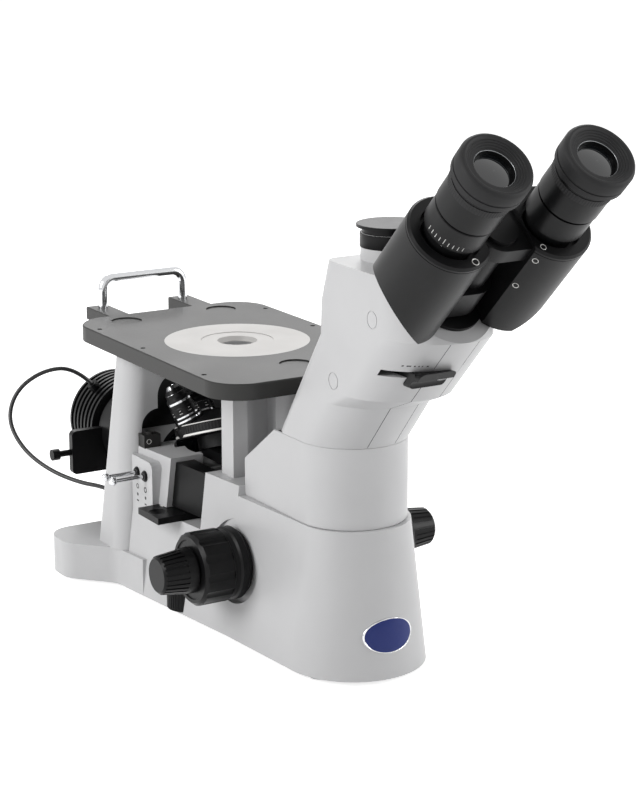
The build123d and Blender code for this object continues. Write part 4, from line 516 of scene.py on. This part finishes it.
def screw_head(place, normal, radius):
    """A set screw about a place: a ring with a rounded top, and inside it a sunk disc with a dark hole."""
    ring = turned([(-0.2, radius), (0.12, radius), (0.2, radius * 0.92), (0.05, radius * 0.78),
                   (-0.2, radius * 0.74)], place, normal, 40)
    disc = turned([(-0.2, radius * 0.44), (-0.05, radius * 0.46), (0.0, radius * 0.72),
                   (-0.2, radius * 0.74)], place, normal, 40)
    return ring, disc


# Each row holds the body, the place in mm, the outward direction and the radius in mm
screws = [("left_wing_body", (-30.6, -264.1, 325.4), (0, -1, 1), 2.5),
          ("right_wing_body", (22.6, -260.6, 328.8), (0, -1, 1), 2.1),
          ("right_wing_body", (19.7, -256.6, 319.7), (-0.66, -0.53, -0.53), 2.1),
          ("right_wing_body", (19.2, -237.1, 300.8), (-0.66, -0.53, -0.53), 2.1),
          ("base_body", (-56.0, 131.0, 121.5), (0, -1, 0), 2.0),
          ("base_body", (-45.0, 24.0, 116.5), (0, 0, 1), 1.7)]
for index, (body, place, normal, radius) in enumerate(screws):
    ring, disc = screw_head(np.array(place) * mm, normal, radius)
    piece("set_screw_ring_%d" % (index + 1), *ring, bright_nickel, body, "light_aluminium")
    piece("set_screw_socket_%d" % (index + 1), *disc, black_plastic, body, "black_plastic")

# Diaphragm rods: each chrome rod passes through a turned ferrule of black anodised aluminium in the side
# of the boss. Below it a ring, a dot and a bar are printed in black ink.
boss_x = -66 * mm
rod_z = 98.5 * mm
rod_places = (axis_y + 41 * mm, axis_y + 28 * mm)
ferrule = [(-0.2, 1.8), (1.6, 1.8), (2.0, 2.2), (2.0, 3.2), (1.6, 3.6), (0.8, 3.6), (0.6, 4.4), (-0.2, 4.4)]
ring_drop, dot_drop, bar_drop = 11 * mm, 17.5 * mm, 22.5 * mm
ring_radii = (2.1, 2.4)
ink_low, ink_high = -0.1, 0.05
bar = [(-1.6, -0.6), (1.6, -0.6), (1.6, 0.6), (-1.6, 0.6)]


def flat_mark(corners, origin, across, up, height=0.04):
    """A thin plate on a flat place: corners x across and y up, in mm, and its top height mm off it."""
    corners, across, up = (np.array(values, float) for values in (corners, across, up))
    normal = np.cross(across, up)
    base = np.array(origin) + (corners[:, :1] * across + corners[:, 1:] * up) * mm
    count = len(corners)
    faces = [list(range(count)), list(range(2 * count - 1, count - 1, -1))]
    faces += [[i, i + count, (i + 1) % count + count, (i + 1) % count] for i in range(count)]
    return np.vstack([base + normal * height * mm, base - normal * mark_foot * mm]), faces


for index, (rod_y, outside) in enumerate(zip(rod_places, ring_radii)):
    piece("rod_ferrule_%d" % (index + 1), *turned(ferrule, (boss_x, rod_y, rod_z), (-1, 0, 0), 48),
          black_anodised, "base_body", "black_anodised")
    printed_ring = turned([(ink_low, 1.3), (ink_high, 1.3), (ink_high, outside), (ink_low, outside)],
                          (boss_x, rod_y, rod_z - ring_drop), (-1, 0, 0), 32)
    printed_dot = turned([(ink_low, 0.01), (ink_high, 0.01), (ink_high, 1.3), (ink_low, 1.3)],
                         (boss_x, rod_y, rod_z - dot_drop), (-1, 0, 0), 24)
    printed_bar = flat_mark(bar, (boss_x, rod_y, rod_z - bar_drop), (0, -1, 0), (0, 0, 1))
    piece("rod_mark_%d" % (index + 1), *joined([printed_ring, printed_dot, printed_bar]), dark_ink,
          "base_body", "black_plastic", smooth=False)

# Filter tray: a white arrow is printed on its black plastic, which says which way it is pushed in
arrow = [(-2.4, -1.6), (2.4, -1.6), (0, 2.4)]
arrow_place = (-0.060, axis_y + 11 * mm, 78.5 * mm)
piece("tray_arrow", *flat_mark(arrow, arrow_place, (0, -1, 0), (1, 0, 0)), white_ink, "tray_body",
      "light_aluminium", smooth=False)

# Nosepiece: its turning ring has a bright bead at the top edge, a bright band at the lower one and 90
# moulded rubber ribs between them, which the fingers push round.
tilt = math.radians(20)
turret_axis = np.array((0, math.sin(tilt), math.cos(tilt)))
turret_reach = 0.025
turret_middle = np.array((0, axis_y + turret_reach * math.cos(tilt), 0.130))
edge_bead = turned(round_section(4.4, 37.3, 0.9), turret_middle, turret_axis)
edge_band = turned([(-4.3, 37.0), (-4.3, 37.45), (-4.0, 37.7), (-2.6, 37.7), (-2.4, 37.45), (-2.4, 37.0)],
                   turret_middle, turret_axis)
piece("turret_edge_lines", *joined([edge_bead, edge_band]), bright_nickel, "turret_body", "light_aluminium")
rib_count = 90
ribs = [curved_mark(37.5, 2 * math.pi * step / rib_count, 0.8, 1.1, 4.6, turret_middle, turret_axis, 0.3)
        for step in range(rib_count)]
piece("turret_knurl", *joined(ribs), black_rubber, "turret_body", "black_rubber", smooth=False)

# Objectives: four black anodised barrels stand on a cone about the nosepiece's axis. Each has two chrome
# bands, a chrome collar and a chrome nose with a coated front lens, and two rows of eight white ticks.
apex = turret_middle - turret_axis * turret_reach / math.tan(tilt)
seat_reach = 80
tip_reach = {"front": 114.0, "right": 110.0, "rear": 107.0, "left": 112.0}
barrel_radius = 10.0
tick_count = 8
for index, (name, tip) in enumerate(tip_reach.items()):
    turn = index * math.pi / 2
    outward = (math.sin(turn) * np.array((1.0, 0, 0))
               - math.cos(turn) * np.array((0, math.cos(tilt), -math.sin(tilt))))
    direction = turret_axis * math.cos(tilt) + outward * math.sin(tilt)
    length = tip - seat_reach
    seat = apex + direction * seat_reach * mm
    bands = [turned([(along, radius - 0.3), (along, radius + 0.12), (along + width, radius + 0.12),
                     (along + width, radius - 0.3)], seat, direction, 72)
             for along, radius, width in ((3.2, 11.0, 1.4), (6.4, 10.0, 1.2), (length - 14.0, 9.6, 1.6))]
    nose = turned([(length - 6.2, 7.0), (length - 6.2, 8.1), (length - 0.2, 4.15), (length + 0.15, 3.9),
                   (length + 0.15, 2.8), (length - 0.3, 2.6)], seat, direction, 72)
    piece("objective_%s_chrome" % name, *joined(bands + [nose]), chrome, "turret_body", "chrome")
    dome = [(length - 0.2, 0.01), (length + 0.14, 0.01), (length + 0.1, 1.4), (length + 0.02, 2.4),
            (length - 0.2, 2.55)]
    piece("objective_%s_front_lens" % name, *turned(dome, seat, direction, 48), coated_glass, "turret_body",
          "clear_glass")
    ticks = [curved_mark(barrel_radius, 2 * math.pi * step / tick_count, along, width, 0.5, seat, direction)
             for along, width in ((10.0, 2.6), (12.2, 1.4)) for step in range(tick_count)]
    piece("objective_%s_ticks" % name, *joined(ticks), white_ink, "turret_body", "light_aluminium",
          smooth=False)

# Brightness wheel: black moulded plastic with 40 ribs on its rim
wheel_centre = np.array((-0.056, axis_y - 17 * mm, 12.7 * mm))
wheel_rib_count = 40
wheel_ribs = [curved_mark(14.0, 2 * math.pi * step / wheel_rib_count, 0.0, 1.1, 12.4, wheel_centre, (0, 0, 1),
                          0.4) for step in range(wheel_rib_count)]
piece("brightness_wheel_ribs", *joined(wheel_ribs), black_plastic, "wheel_body", "black_plastic",
      smooth=False)

# Lamp cable: two cores in one smooth sheath of black PVC, with a soft gloss. It leaves the heat sink
# upwards, hangs in one loop beside the lamp and goes back into the column.
cable_sheath, tree, shader = finish_of("black_pvc_sheath", "#121213", Roughness=0.35)
grain(tree, shader, 0.0012, 0.00001, 2.0, ("#101011", "#151516"))
cable_diameter = 3.5 * mm
cable_route = np.array([
    (-26.7, 294.0, 128.5), (-42.0, 296.0, 144.0), (-66.0, 303.0, 143.0), (-88.0, 309.0, 128.0),
    (-98.0, 306.0, 105.0), (-94.0, 288.0, 84.0), (-82.0, 264.0, 70.0), (-68.0, 236.0, 64.0),
    (-56.0, 212.0, 64.5), (-56.0, 195.0, 64.5)]) * mm
cable_line = bpy.data.curves.new("lamp_cable_line", "CURVE")
cable_line.dimensions = "3D"
spline = cable_line.splines.new("NURBS")
spline.points.add(len(cable_route) - 1)
spline.points.foreach_set("co", np.c_[cable_route, np.ones(len(cable_route))].ravel())
spline.order_u = 3
spline.use_endpoint_u = True
spline.resolution_u = 12
cable_line.bevel_depth = cable_diameter / 2
cable_line.bevel_resolution = 6
cable_line.use_fill_caps = True
cable = bpy.data.objects.new("lamp_cable_sheath", cable_line)
scene.collection.objects.link(cable)
cable_line.materials.append(cable_sheath)
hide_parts("lamp_cable")
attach(cable, "base_body")

# Studio floor: matt white paint. The camera, reflections and glass see it as the white background, and
# the soft contact shadow of the object stays on it.
floor_half = 6
floor_mesh = bpy.data.meshes.new("studio_floor")
floor_mesh.from_pydata([(-floor_half, -floor_half, 0), (floor_half, -floor_half, 0),
                        (floor_half, floor_half, 0), (-floor_half, floor_half, 0)], [], [(0, 1, 2, 3)])
floor = bpy.data.objects.new("studio_floor", floor_mesh)
scene.collection.objects.link(floor)
floor_paint, tree, shader = finish_of("white_floor", "#f4f4f4", Roughness=0.9)
shader.inputs["Emission Color"].default_value = (1, 1, 1, 1)
floor_glow = 0.78


def background_rays(tree):
    """Is Camera Ray plus Is Glossy Ray plus Is Transmission Ray, at most one."""
    rays = add(tree, "ShaderNodeLightPath").outputs
    share = add(tree, "ShaderNodeMath", links={0: rays["Is Camera Ray"], 1: rays["Is Glossy Ray"]},
                operation="ADD").outputs[0]
    return add(tree, "ShaderNodeMath", links={0: share, 1: rays["Is Transmission Ray"]}, operation="ADD",
               use_clamp=True).outputs[0]


glow = add(tree, "ShaderNodeMath", {1: floor_glow}, {0: background_rays(tree)}, operation="MULTIPLY")
tree.links.new(glow.outputs[0], shader.inputs["Emission Strength"])
floor_mesh.materials.append(floor_paint)

# Light: the world is white for the same rays and a weak even fill for all others
scene.view_settings.view_transform = "Standard"
world_fill = 0.22
world = bpy.data.worlds.new("studio")
scene.world = world
world.use_nodes = True
tree = world.node_tree
strength = add(tree, "ShaderNodeMapRange", {"To Min": world_fill, "To Max": 1.0},
               {"Value": background_rays(tree)})
backdrop = tree.nodes["Background"]
backdrop.inputs["Color"].default_value = (1, 1, 1, 1)
tree.links.new(strength.outputs["Result"], backdrop.inputs["Strength"])
lamp_aim = Vector((0, 0, 0.2))


def lamp(name, place, size, power):
    """A square area lamp of this size in metres and power in watts at a place, which points at the object."""
    data = bpy.data.lights.new(name, "AREA")
    data.size = size
    data.energy = power
    made = bpy.data.objects.new(name, data)
    made.location = place
    made.rotation_euler = (lamp_aim - Vector(place)).to_track_quat("-Z", "Y").to_euler()
    scene.collection.objects.link(made)


lamp("key_left", (-2.1, 0.1, 1.2), 1.2, 34)
lamp("fill_right", (1.9, -1.5, 0.9), 1.1, 28)
lamp("top_back", (0.7, 1.6, 1.5), 1.6, 19)
